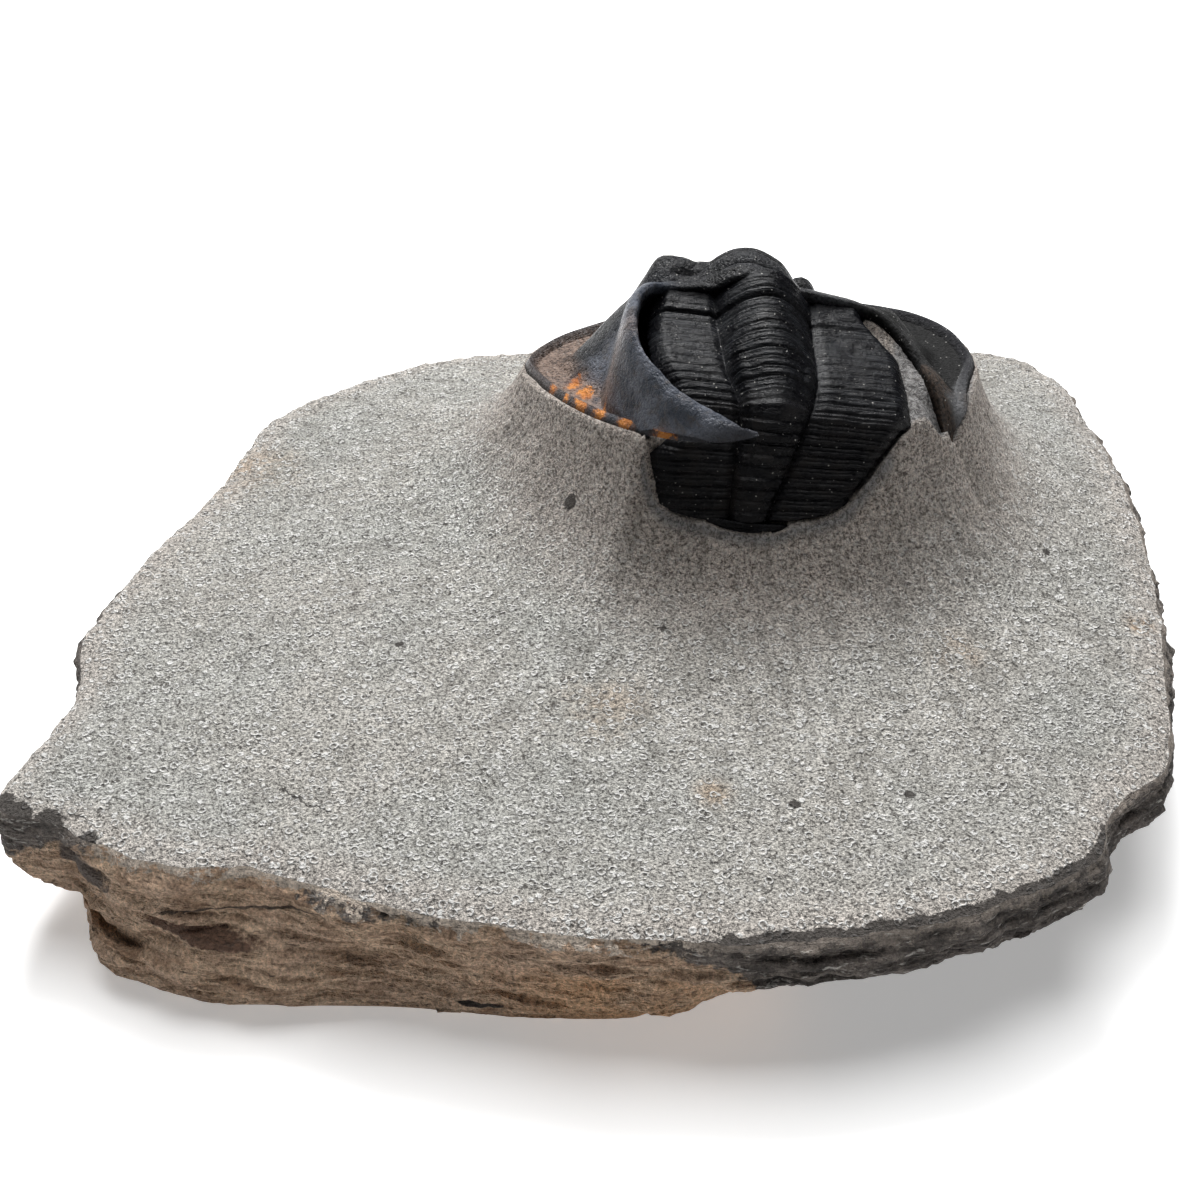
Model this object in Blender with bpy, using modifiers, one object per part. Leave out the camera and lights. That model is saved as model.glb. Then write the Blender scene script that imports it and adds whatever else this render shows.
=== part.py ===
# Fossil harpes trilobite on its block of limestone.
# X points to the right and Y away from the tail, along the animal. Z points up, and the table is at z = 0.
# Lengths are in millimetres until a mesh is made, which is in metres.
import math

import bmesh
import bpy
import numpy as np
from mathutils import Euler, Vector, noise
from mathutils.bvhtree import BVHTree

MM = 0.001
COLLECTION = "fossil_harpes_trilobite"

# Block of limestone. Its plan is drawn from above, anticlockwise from the left tip.
RIM_OUTLINE = (
    (-47.8, -30.2), (-42.4, -32.3), (-34.0, -36.2), (-28.0, -36.6), (-16.7, -40.4), (-7.6, -42.5),
    (2.8, -43.6), (12.0, -43.2), (21.3, -41.3), (28.0, -38.4), (31.8, -36.0), (33.2, -34.2),
    (34.2, -31.6), (36.6, -28.4), (40.0, -25.6), (42.6, -17.0), (46.0, 1.3), (46.9, 14.4),
    (46.3, 27.0), (44.6, 36.5), (39.2, 41.8), (20.0, 42.8), (4.0, 42.8), (-11.0, 42.1),
    (-21.8, 39.3), (-30.2, 34.0), (-36.3, 27.0), (-38.4, 20.5), (-40.2, 11.5), (-44.0, 2.0),
    (-46.4, -9.0), (-45.4, -17.5), (-47.2, -25.0),
)
BASE_OUTLINE = (
    (-41.6, -29.0), (-38.6, -35.6), (-31.0, -38.4), (-18.0, -38.9), (-7.0, -39.9), (0.5, -39.4),
    (6.5, -35.0), (15.0, -27.0), (24.0, -18.0), (31.0, -4.0), (33.5, 12.0), (30.0, 27.0),
    (17.0, 34.0), (0.0, 35.5), (-16.0, 33.0), (-28.0, 26.0), (-34.0, 13.0), (-39.5, 0.0),
    (-42.5, -12.0), (-43.8, -22.0),
)
RIM_HEIGHT_FRONT = 12.0
RIM_HEIGHT_BACK = 13.4
MOUND_RISE = 2.2
FLANK_LENGTH = 4.3
MOUND_CENTRE = (9.8, 14.0)
CURVE_STEPS = 12

# Broken side of the block. At the front left an upper bed stands out over a rounded lower one.
# To the right and behind, the block thins to a plate whose underside slopes back to the foot.
EDGE_ROUNDING = 1.3
BED_DEPTH = 4.6
BED_STEP = 1.5
BED_STEP_AT_TIP = 3.4
LOWER_BULGE = 1.6
PLATE_DEPTH = 4.4
PLATE_FLARE = 0.9
SIDE_ROUGHNESS = 1.3

# Pedestal under the fossil. Its edge follows the fossil's plan, and its top the fossil's underside.
EDGE_ALLOWANCE = 0.3
CONTACT_GAP = 0.4
PEDESTAL_LOW, PEDESTAL_HIGH = 18.0, 36.0
SEARCH_RADIUS = 32.0
SEARCH_STEP = 0.1
CONTACT_PASSES = 12
CONTACT_STEP = 0.12
COLUMNS_OF_ROCK = 78
SEAT_SHARES = (0.16, 0.32, 0.46, 0.55, 0.63, 0.71, 0.79, 0.87, 0.94, 1.0)
FLANK_SHARES = (0.05, 0.11, 0.18, 0.27, 0.39, 0.54, 0.76, 1.0)

# Head shield, in its own frame: u to the right, v forward, w up, from the middle of its hind margin.
CEPHALON_ORIGIN = (9.8, 12.0, 32.0)
CEPHALON_ROLL = -3.0
OUTER_RIM = (
    (-0.4, -17.7, -2.4), (-3.2, -17.2, -3.2), (-6.8, -15.9, -3.9), (-11.5, -11.8, -4.9), (-16.0, -6.0, -5.7),
    (-18.6, -0.9, -6.4), (-20.4, 4.4, -7.0), (-19.2, 8.0, -7.3), (-16.0, 11.4, -7.4), (-9.0, 14.6, -7.2),
    (0.0, 16.2, -7.1), (9.0, 15.2, -7.3), (15.3, 13.0, -7.5), (18.8, 9.6, -7.5), (20.4, 5.0, -7.2),
    (20.5, 0.4, -6.9), (19.4, -3.2, -6.9), (18.4, -5.8, -7.6), (17.3, -8.0, -8.7), (17.0, -9.5, -9.4),
)
INNER_MARGIN = (
    (-0.7, -17.3, -2.0), (-2.2, -17.1, -1.5), (-4.7, -15.8, -0.9), (-6.6, -14.0, -0.5), (-8.4, -11.3, 0.5),
    (-9.6, -8.5, 1.9), (-9.5, -5.0, 2.9), (-8.6, -2.0, 3.0), (-7.0, 0.0, 2.0), (-3.4, 0.2, 1.8),
    (0.0, 0.3, 1.8), (3.4, 0.2, 1.2), (7.0, 0.3, 0.1), (10.4, 0.6, -1.1), (12.2, 0.0, -2.0),
    (13.8, -1.6, -3.2), (15.0, -3.8, -4.2), (15.2, -6.4, -3.9), (15.8, -8.0, -6.0), (16.4, -9.4, -8.6),
)
# Height above the rim by the distance in from it: a hollow brim, a steep cheek, a flat top.
HEAD_PROFILE = (
    (0.0, 0.0), (0.9, -0.3), (3.7, 0.2), (5.7, 2.2), (7.7, 4.8), (9.6, 7.0), (11.6, 8.5), (14.0, 9.5),
    (17.0, 10.0), (24.0, 10.2),
)
COLUMNS_OF_HEAD = 57
ROWS_OF_HEAD = (0.0, 0.06, 0.14, 0.24, 0.34, 0.44, 0.54, 0.65, 0.76, 0.88, 1.0)
MARGIN_WIDTH = 4.0
BRIM_WIDENING = 0.34
SHELL_THICKNESS = 0.9
RIM_LIFT = 0.5
RIM_WIDTH = 0.9
# A swelling: its middle, its half widths to the side, backwards and forwards, and its height.
GLABELLA = ((-0.2, 3.0), (4.7, 4.2, 8.5), 2.3)
OCCIPITAL_RING = ((0.0, 0.6), (3.6, 0.8, 0.8), 0.6)
LEFT_EYE = ((-7.1, 4.0), (2.1, 2.3, 2.3), 2.5)
RIGHT_EYE = ((5.1, 4.0), (1.2, 1.4, 1.4), 2.6)
RIGHT_CHEEK_WEAR = 3.4

# Thorax, in its own frame: u to the right, v forward, w up, from near the same point.
THORAX_ORIGIN = (10.6, 12.0, 32.0)
THORAX_ROLL = 7.0
THORAX_START = (-0.5, 0.3)
SEGMENT_PITCH = 0.97
SEGMENTS = 23
RIB_HEIGHT = 0.22
KNEE_AT = 12.0
KNEE_RADIUS = 2.2
FRONT_SLOPE = (5.0, 19.0)
REAR_SLOPE = 67.0
REAR_TWIST = 0.105
# Along the thorax: distance from its front, then the value there.
AXIS_MIDDLE = ((0.0, 0.3), (12.0, 1.1), (17.0, 0.6), (22.0, -0.1))
AXIS_HALF_WIDTH = ((0.0, 3.5), (12.0, 3.3), (17.0, 2.6), (22.0, 1.8))
AXIS_HEIGHT = ((0.0, 2.6), (12.0, 2.4), (22.0, 1.4))
LEFT_WIDTH = ((0.0, 8.4), (4.0, 9.2), (8.0, 9.0), (11.5, 7.4), (15.5, 6.9), (17.3, 8.8), (22.0, 7.2))
RIGHT_WIDTH = ((0.0, 9.6), (4.0, 12.0), (12.0, 12.3), (22.0, 7.2))
PLEURA_EDGE = 2.4
PLEURA_DROP = 1.1
THORAX_THICKNESS = 0.9
ARC_STEP = 0.05
AXIS_STATIONS = (-1.0, -0.72, -0.38, 0.0, 0.38, 0.72, 1.0)
PLEURA_STATIONS = (0.38, 0.72, 0.88, 1.0)

# Tail shield.
PYGIDIUM_LENGTH = 1.3
PYGIDIUM_HALF_WIDTH = 2.1
PYGIDIUM_GAP = 0.35
PYGIDIUM_RISE = 1.0
PYGIDIUM_ROWS = (0.0, 0.3, 0.6, 0.82, 1.0)
PYGIDIUM_STATIONS = (-1.0, -0.8, -0.5, -0.2, 0.0, 0.2, 0.5, 0.8, 1.0)

GRAIN_SEED = 11.0


def smoothstep(t):
    t = min(max(t, 0.0), 1.0)
    return t * t * (3.0 - 2.0 * t)


def mix(a, b, t):
    return a + (b - a) * t


def bell(t):
    """1 at the middle, 0 from t = 1 outwards, with a smooth top and foot."""
    return (1.0 - min(abs(t), 1.0) ** 2) ** 2


def smooth_curve(points, count, closed=False):
    """Evenly spaced points along a Catmull-Rom curve through the given ones."""
    p = [Vector(q) for q in points]
    n = len(p)
    dense = []
    for i in range(n if closed else n - 1):
        if closed:
            a, b, c, d = (p[(i + k) % n] for k in (-1, 0, 1, 2))
        else:
            a, b, c, d = (p[min(max(i + k, 0), n - 1)] for k in (-1, 0, 1, 2))
        for step in range(CURVE_STEPS):
            t = step / CURVE_STEPS
            dense.append(0.5 * (2 * b + (c - a) * t + (2 * a - 5 * b + 4 * c - d) * t * t
                                + (3 * b - a - 3 * c + d) * t ** 3))
    dense.append(dense[0] if closed else p[-1])
    way = np.concatenate([[0.0], np.cumsum([(q - r).length for q, r in zip(dense[1:], dense)])])
    stops = np.linspace(0.0, way[-1], count, endpoint=not closed)
    table = np.array([tuple(q) for q in dense])
    return np.stack([np.interp(stops, way, table[:, k]) for k in range(table.shape[1])], 1)


def new_material(name, colour, roughness):
    material = bpy.data.materials.new(name)
    material.use_nodes = True
    shader = material.node_tree.nodes["Principled BSDF"]
    shader.inputs["Base Color"].default_value = (*colour, 1.0)
    shader.inputs["Roughness"].default_value = roughness
    shader.inputs["Metallic"].default_value = 0.0
    material.diffuse_color = (*colour, 1.0)
    return material


def add_object(name, mesh, material, collection, parent=None):
    thing = bpy.data.objects.new(name, mesh)
    mesh.materials.append(material)
    mesh.shade_smooth()
    mesh.set_sharp_from_angle(angle=math.radians(40))
    collection.objects.link(thing)
    thing.parent = parent
    return thing


def add_frame(name, origin, roll, collection):
    """An empty that carries a piece of the fossil, rolled about its long axis."""
    frame = bpy.data.objects.new(name, None)
    frame.empty_display_size = 5 * MM
    frame.location = Vector(origin) * MM
    frame.rotation_euler = Euler((0.0, math.radians(roll), 0.0))
    collection.objects.link(frame)
    return frame


def grid_mesh(name, points):
    """A grid primitive whose vertices are moved to a table of points, rows by columns."""
    rows, columns = len(points), len(points[0])
    bm = bmesh.new()
    bmesh.ops.create_grid(bm, x_segments=columns - 1, y_segments=rows - 1, size=1.0)
    bm.verts.ensure_lookup_table()
    for i, vertex in enumerate(bm.verts):
        vertex.co = Vector(points[i // columns][i % columns]) * MM
    mesh = bpy.data.meshes.new(name)
    bm.to_mesh(mesh)
    bm.free()
    return mesh


def solidify(thing, thickness):
    shell = thing.modifiers.new("shell", "SOLIDIFY")
    shell.thickness = thickness * MM
    shell.offset = -1.0
    shell.use_even_offset = False


def swelling(u, v, shape):
    """Height of a rounded swelling at (u, v)."""
    middle, (across, back, front), height = shape
    along = front if v > middle[1] else back
    return height * bell(math.hypot((u - middle[0]) / across, (v - middle[1]) / along))


def read_off(table, x):
    """Value at x on the straight runs between the pairs of a table."""
    return float(np.interp(x, [row[0] for row in table], [row[1] for row in table]))


def distance_to(curve, u, v):
    return float(np.min(np.hypot(curve[:, 0] - u, curve[:, 1] - v)))


def head_point(inner, outer, share, rim, profile):
    """A point of the shield's upper side. Share runs from the outer rim, 0, to the inner margin, 1."""
    u = mix(outer[0], inner[0], share)
    v = mix(outer[1], inner[1], share)
    from_rim = distance_to(rim, u, v)
    narrowed = 1.0 - BRIM_WIDENING * smoothstep((v - 2.0) / 8.0)
    w = outer[2] + read_off(profile, narrowed * from_rim) + RIM_LIFT * bell(from_rim / RIM_WIDTH)
    length = math.dist(outer[:2], inner[:2])
    at_margin = outer[2] + read_off(profile, distance_to(rim, inner[0], inner[1]))
    near_margin = smoothstep(1.0 - (1.0 - share) * length / min(MARGIN_WIDTH, length))
    w += (inner[2] - at_margin) * near_margin
    for shape in (GLABELLA, OCCIPITAL_RING, LEFT_EYE, RIGHT_EYE):
        w += swelling(u, v, shape)
    worn = smoothstep((u - 2.5) / 3.0) * smoothstep((13.0 - u) / 3.0) * smoothstep((9.0 - v) / 5.0)
    return u, v, w - RIGHT_CHEEK_WEAR * worn * (1.0 - near_margin)


def build_cephalon(collection, material):
    outer = smooth_curve(OUTER_RIM, COLUMNS_OF_HEAD)
    inner = smooth_curve(INNER_MARGIN, COLUMNS_OF_HEAD)
    rim = smooth_curve(OUTER_RIM, 10 * COLUMNS_OF_HEAD)
    profile = smooth_curve([(d, h, 0.0) for d, h in HEAD_PROFILE], 80)[:, :2]
    points = []
    for share in ROWS_OF_HEAD:
        points.append([head_point(i, o, share, rim, profile) for i, o in zip(inner, outer)])
    frame = add_frame("cephalon_frame", CEPHALON_ORIGIN, CEPHALON_ROLL, collection)
    thing = add_object("cephalon", grid_mesh("cephalon", points), material, collection, frame)
    solidify(thing, SHELL_THICKNESS)
    return thing


def thorax_slope(distance):
    """Slope of the back in radians: nearly level in front, steep behind the knee."""
    if distance < KNEE_AT:
        return math.radians(mix(*FRONT_SLOPE, distance / KNEE_AT))
    bend = KNEE_RADIUS * math.radians(REAR_SLOPE - FRONT_SLOPE[1])
    return math.radians(mix(FRONT_SLOPE[1], REAR_SLOPE, smoothstep((distance - KNEE_AT) / bend)))


def along_thorax(distance):
    """Side view of the thorax: v, w and slope at a distance along its back from the head."""
    v, w = THORAX_START
    steps = max(int(distance / ARC_STEP), 1)
    for i in range(steps):
        slope = thorax_slope(distance * (i + 0.5) / steps)
        v -= math.cos(slope) * distance / steps
        w -= math.sin(slope) * distance / steps
    return v, w, thorax_slope(distance)


def thorax_row(distance, rib):
    """A cross-section: a domed axis between side plates whose edges bend down."""
    v, w, slope = along_thorax(distance)
    middle = read_off(AXIS_MIDDLE, distance)
    half_axis = read_off(AXIS_HALF_WIDTH, distance)
    height = read_off(AXIS_HEIGHT, distance)
    left, right = -read_off(LEFT_WIDTH, distance), read_off(RIGHT_WIDTH, distance)
    stations = [(middle + half_axis * t, height * math.sqrt(1.0 - t * t)) for t in AXIS_STATIONS]
    for t in PLEURA_STATIONS:
        for side, edge in ((-1, left), (1, right)):
            fall = max(PLEURA_EDGE - (1.0 - t) * abs(edge), 0.0) / PLEURA_EDGE
            stations.append((mix(middle + side * half_axis, edge, t), -PLEURA_DROP * fall ** 2))
    twist = REAR_TWIST * smoothstep((distance - KNEE_AT) / (SEGMENTS * SEGMENT_PITCH - KNEE_AT))
    row = []
    for u, lift in sorted(stations):
        lift += rib
        row.append((u, v - lift * math.sin(slope), w + lift * math.cos(slope) + twist * u))
    return row


def build_thorax(collection, material):
    rows = [thorax_row(i * SEGMENT_PITCH / 2, RIB_HEIGHT * (i % 2)) for i in range(2 * SEGMENTS + 1)]
    frame = add_frame("thorax_frame", THORAX_ORIGIN, THORAX_ROLL, collection)
    thing = add_object("thorax", grid_mesh("thorax", rows[::-1]), material, collection, frame)
    solidify(thing, THORAX_THICKNESS)
    return thing, frame


def build_pygidium(collection, material, frame):
    """The small tail shield, a half oval that goes on where the thorax ends."""
    end = SEGMENTS * SEGMENT_PITCH + PYGIDIUM_GAP
    v, w, slope = along_thorax(end)
    middle = read_off(AXIS_MIDDLE, end)
    rows = []
    for t in PYGIDIUM_ROWS:
        reach = PYGIDIUM_LENGTH * t
        half_width = PYGIDIUM_HALF_WIDTH * math.sqrt(1.0 - (0.85 * t) ** 2)
        row = []
        for share in PYGIDIUM_STATIONS:
            lift = PYGIDIUM_RISE * (1.0 - share ** 2) * (1.0 - 0.5 * t)
            forward = v - math.cos(slope) * reach - lift * math.sin(slope)
            up = w - math.sin(slope) * reach + lift * math.cos(slope)
            row.append((middle + half_width * share, forward, up))
        rows.append(row)
    thing = add_object("pygidium", grid_mesh("pygidium", rows[::-1]), material, collection, frame)
    solidify(thing, THORAX_THICKNESS)
    return thing


def tree_of(things):
    """One search tree over the world-space meshes of the given objects, in millimetres."""
    graph = bpy.context.evaluated_depsgraph_get()
    vertices, faces = [], []
    for thing in things:
        evaluated = thing.evaluated_get(graph)
        mesh = evaluated.to_mesh()
        start = len(vertices)
        vertices += [evaluated.matrix_world @ v.co / MM for v in mesh.vertices]
        faces += [[start + k for k in polygon.vertices] for polygon in mesh.polygons]
        evaluated.to_mesh_clear()
    return BVHTree.FromPolygons(vertices, faces)


class Outline:
    """A closed outline as a distance from the mound's centre for each direction."""

    def __init__(self, points):
        away = smooth_curve(points, 360, closed=True) - np.array(MOUND_CENTRE)
        angle = np.arctan2(away[:, 1], away[:, 0])
        order = np.argsort(angle)
        self.angle = angle[order]
        self.radius = np.hypot(away[:, 0], away[:, 1])[order]

    def at(self, angle):
        return float(np.interp(angle, self.angle, self.radius, period=2 * math.pi))


def rim_height(y):
    return mix(RIM_HEIGHT_FRONT, RIM_HEIGHT_BACK, smoothstep((y + 40.0) / 80.0))


def on_ray(radius, angle, z=0.0):
    return Vector((MOUND_CENTRE[0] + radius * math.cos(angle), MOUND_CENTRE[1] + radius * math.sin(angle), z))


def underside(x, y, fossil):
    hit = fossil.ray_cast(Vector((x, y, 0.0)), Vector((0.0, 0.0, 1.0)))[0]
    return hit.z if hit else None


def pedestal_edge(angles, fossil):
    """Radius and height of the pedestal's edge for each direction, just under the fossil's outline."""
    radii, heights = [], []
    for angle in angles:
        radius = SEARCH_RADIUS
        while underside(*on_ray(radius, angle).xy, fossil) is None:
            radius -= SEARCH_STEP
        below = [underside(*on_ray(radius - inwards, angle).xy, fossil) for inwards in (0.0, 0.4, 0.8, 1.2)]
        radii.append(radius + EDGE_ALLOWANCE)
        heights.append(min(z for z in below if z) - CONTACT_GAP)
    lowest = np.min([np.roll(heights, k) for k in (-1, 0, 1)], 0)
    smooth = np.mean([np.roll(lowest, k) for k in (-2, -1, 0, 1, 2)], 0)
    return radii, list(np.minimum(smooth, heights))


def seat_height(x, y, fossil):
    """Highest point over (x, y) that stays clear of the fossil, coming up from below it."""
    z = PEDESTAL_LOW
    while z < PEDESTAL_HIGH:
        near, _, _, distance = fossil.find_nearest(Vector((x, y, z + SEARCH_STEP)))
        if distance < CONTACT_GAP or near.z < z - 2 * SEARCH_STEP:
            break
        z += SEARCH_STEP
    return z


def flank_height(share, length, y, edge_height):
    """Height of the dressed top between the pedestal's edge, share 0, and the rim: a concave slope."""
    low = rim_height(y)
    steep = (edge_height - low - MOUND_RISE) * math.exp(-share * length / FLANK_LENGTH)
    return low + MOUND_RISE * (1.0 - share) + steep


def grain(point, scale):
    return noise.noise(Vector(point) / scale + Vector((GRAIN_SEED, 0.0, 0.0)))


def side_rings(rim_point, angle, base):
    """Points down the broken side of the block, from below the rim to the flat base."""
    centre = Vector((*MOUND_CENTRE, 0.0))
    out = Vector((math.cos(angle), math.sin(angle), 0.0))
    reach, foot, top = (rim_point - centre).dot(out), base.at(angle), rim_point.z
    thin = smoothstep((reach - foot - 4.5) / 5.0)
    at_tip = smoothstep((-30.0 - rim_point.x) / 8.0) * smoothstep((-18.0 - rim_point.y) / 8.0)
    step = mix(BED_STEP, BED_STEP_AT_TIP, at_tip)
    thick = [
        (reach + 0.5, top - EDGE_ROUNDING),
        (reach + 0.1, mix(top, top - BED_DEPTH, 0.75)),
        (reach - 0.3 * step, top - BED_DEPTH),
        (max(reach - step, foot + 0.4), top - BED_DEPTH - 0.7),
        (max(reach - step + 0.2, foot + LOWER_BULGE), 0.42 * top),
        (foot + LOWER_BULGE, 0.2 * top),
        (foot + 0.5, 0.5),
        (foot, 0.0),
    ]
    flare = reach + PLATE_FLARE
    plate = [
        (reach + 0.6, top - EDGE_ROUNDING),
        (flare, top - 0.55 * PLATE_DEPTH),
        (flare - 0.6, top - 0.85 * PLATE_DEPTH),
        (reach - 1.4, top - PLATE_DEPTH - 0.7),
        (mix(reach, foot, 0.35), mix(top - PLATE_DEPTH, 0.0, 0.45)),
        (mix(reach, foot, 0.7), mix(top - PLATE_DEPTH, 0.0, 0.72)),
        (foot + 0.8, 0.5),
        (foot, 0.0),
    ]
    rings = []
    for k, ((r0, z0), (r1, z1)) in enumerate(zip(thick, plate)):
        point = centre + out * mix(r0, r1, thin) + Vector((0.0, 0.0, mix(z0, z1, thin)))
        if 0 < k < 6:
            rough = SIDE_ROUGHNESS * (grain(point, 5.0) + 0.7 * grain(point, 2.4))
            point += out * rough + Vector((0.0, 0.0, 0.5 * SIDE_ROUGHNESS * grain(point, 7.0)))
        rings.append(point)
    rings.append(centre + out * 0.5 * foot)
    return rings


def build_rock(collection, material, fossil):
    rim, base = Outline(RIM_OUTLINE), Outline(BASE_OUTLINE)
    outline = smooth_curve(RIM_OUTLINE, COLUMNS_OF_ROCK, closed=True) - np.array(MOUND_CENTRE)
    angles = [math.atan2(y, x) for x, y in outline]
    radii, heights = pedestal_edge(angles, fossil)
    table = []
    for share in SEAT_SHARES:
        ring = [on_ray(share * radius, angle) for radius, angle in zip(radii, angles)]
        for point, height in zip(ring, heights):
            point.z = height if share == 1.0 else seat_height(point.x, point.y, fossil)
        table.append(ring)
    for share in FLANK_SHARES:
        ring = []
        for radius, angle, height in zip(radii, angles, heights):
            length = rim.at(angle) - radius
            point = on_ray(radius + share * length, angle)
            point.z = flank_height(share, length, point.y, height)
            ring.append(point)
        table.append(ring)
    table += [list(ring) for ring in zip(*[side_rings(p, a, base) for p, a in zip(table[-1], angles)])]
    peak = on_ray(0.0, 0.0, seat_height(*MOUND_CENTRE, fossil))

    bm = bmesh.new()
    bmesh.ops.create_uvsphere(bm, u_segments=COLUMNS_OF_ROCK, v_segments=len(table) + 1, radius=1.0)
    shape_sphere(bm, table, peak, on_ray(0.0, 0.0))
    clear_contact(bm, fossil)
    mesh = bpy.data.meshes.new("matrix_rock")
    bm.to_mesh(mesh)
    bm.free()
    return add_object("matrix_rock", mesh, material, collection)


def clear_contact(bm, fossil):
    """Lowers the corners of any triangle of the seat that comes too near the fossil between its corners."""
    bmesh.ops.triangulate(bm, faces=bm.faces)
    weights = [(a / 4, b / 4, (4 - a - b) / 4) for a in range(5) for b in range(5 - a)]
    for _ in range(CONTACT_PASSES):
        low = set()
        for face in bm.faces:
            if face.normal.z < 0.05 or face.calc_center_median().z < 15 * MM:
                continue
            corners = [v.co / MM for v in face.verts]
            for a, b, c in weights:
                point = corners[0] * a + corners[1] * b + corners[2] * c
                near, normal, _, distance = fossil.find_nearest(point)
                if distance < 0.75 * CONTACT_GAP or (point - near).dot(normal) < 0.0:
                    low.update(face.verts)
                    break
        if not low:
            return
        for vertex in low:
            vertex.co.z -= CONTACT_STEP * MM
        bm.normal_update()


def shape_sphere(bm, table, peak, foot):
    """Moves a sphere's rings of latitude, from the top down, to the rows of the table."""
    count = len(table[0])
    levels = {}
    for vertex in bm.verts:
        levels.setdefault(round(vertex.co.z, 5), []).append(vertex)
    heights = sorted(levels, reverse=True)
    levels[heights[0]][0].co = peak * MM
    levels[heights[-1]][0].co = foot * MM
    for level, row in zip(heights[1:-1], table):
        ring = sorted(levels[level], key=lambda v: math.atan2(v.co.y, v.co.x))
        start = min(range(count), key=lambda k: math.atan2(row[k].y - foot.y, row[k].x - foot.x))
        for k, vertex in enumerate(ring):
            vertex.co = row[(start + k) % count] * MM


def main():
    for thing in list(bpy.data.objects):
        bpy.data.objects.remove(thing, do_unlink=True)
    collection = bpy.data.collections.new(COLLECTION)
    bpy.context.scene.collection.children.link(collection)
    shell = new_material("black_shell", (0.022, 0.024, 0.027), 0.32)
    head = new_material("blue_black_shell", (0.07, 0.075, 0.085), 0.45)
    limestone = new_material("limestone", (0.42, 0.40, 0.36), 0.9)
    cephalon = build_cephalon(collection, head)
    thorax, frame = build_thorax(collection, shell)
    pygidium = build_pygidium(collection, shell, frame)
    bpy.context.view_layer.update()
    build_rock(collection, limestone, tree_of([cephalon, thorax, pygidium]))


main()
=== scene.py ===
import math

import bpy
import numpy as np
from mathutils import Euler, Matrix, Vector, noise
from mathutils.bvhtree import BVHTree


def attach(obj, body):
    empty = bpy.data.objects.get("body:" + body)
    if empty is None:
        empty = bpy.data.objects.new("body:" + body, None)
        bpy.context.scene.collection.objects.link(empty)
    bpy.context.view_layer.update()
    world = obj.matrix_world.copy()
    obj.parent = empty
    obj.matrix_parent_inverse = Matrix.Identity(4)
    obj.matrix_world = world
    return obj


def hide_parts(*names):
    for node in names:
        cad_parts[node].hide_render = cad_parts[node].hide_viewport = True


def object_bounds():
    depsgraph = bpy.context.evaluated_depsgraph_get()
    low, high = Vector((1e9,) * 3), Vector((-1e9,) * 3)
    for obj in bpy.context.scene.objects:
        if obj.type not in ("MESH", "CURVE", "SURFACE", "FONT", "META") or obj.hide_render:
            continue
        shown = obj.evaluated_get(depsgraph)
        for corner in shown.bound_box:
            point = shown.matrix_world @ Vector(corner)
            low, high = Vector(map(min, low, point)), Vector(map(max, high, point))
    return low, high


# Fossil harpes trilobite on its block of limestone.
# X points to the right and Y away from the tail, along the animal. Z points up, and the table is at z = 0.
# Lengths are in millimetres until a mesh is made, which is in metres.
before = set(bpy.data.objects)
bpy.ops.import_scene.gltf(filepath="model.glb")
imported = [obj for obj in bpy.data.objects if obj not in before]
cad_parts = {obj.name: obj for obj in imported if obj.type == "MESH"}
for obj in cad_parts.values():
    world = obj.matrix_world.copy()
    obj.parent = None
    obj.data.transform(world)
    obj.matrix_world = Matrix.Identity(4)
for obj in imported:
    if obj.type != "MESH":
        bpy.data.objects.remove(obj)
CAD_BOX = [list(corner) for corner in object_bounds()]
MM = 0.001

# Block of limestone. Its plan is drawn from above, anticlockwise from the left tip.
RIM_OUTLINE = (
    (-47.8, -30.2), (-42.4, -32.3), (-34.0, -36.2), (-28.0, -36.6), (-16.7, -40.4), (-7.6, -42.5),
    (2.8, -43.6), (12.0, -43.2), (21.3, -41.3), (28.0, -38.4), (31.8, -36.0), (33.2, -34.2),
    (34.2, -31.6), (36.6, -28.4), (40.0, -25.6), (42.6, -17.0), (46.0, 1.3), (46.9, 14.4),
    (46.3, 27.0), (44.6, 36.5), (39.2, 41.8), (20.0, 42.8), (4.0, 42.8), (-11.0, 42.1),
    (-21.8, 39.3), (-30.2, 34.0), (-36.3, 27.0), (-38.4, 20.5), (-40.2, 11.5), (-44.0, 2.0),
    (-46.4, -9.0), (-45.4, -17.5), (-47.2, -25.0),
)
BASE_OUTLINE = (
    (-41.6, -29.0), (-38.6, -35.6), (-31.0, -38.4), (-18.0, -38.9), (-7.0, -39.9), (0.5, -39.4),
    (6.5, -35.0), (15.0, -27.0), (24.0, -18.0), (31.0, -4.0), (33.5, 12.0), (30.0, 27.0),
    (17.0, 34.0), (0.0, 35.5), (-16.0, 33.0), (-28.0, 26.0), (-34.0, 13.0), (-39.5, 0.0),
    (-42.5, -12.0), (-43.8, -22.0),
)
RIM_HEIGHT_FRONT = 12.0
RIM_HEIGHT_BACK = 13.4
MOUND_RISE = 2.2
FLANK_LENGTH = 4.3
MOUND_CENTRE = np.array((9.8, 14.0))
EDGE_ROUNDING = 1.3
BED_DEPTH = 4.6
BED_DEPTH_AT_TIP = 7.2
BED_STEP = 0.4
BED_STEP_AT_TIP = 3.2
LOWER_BULGE = 1.6
PLATE_DEPTH = 4.4
PLATE_FLARE = 0.9

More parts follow.
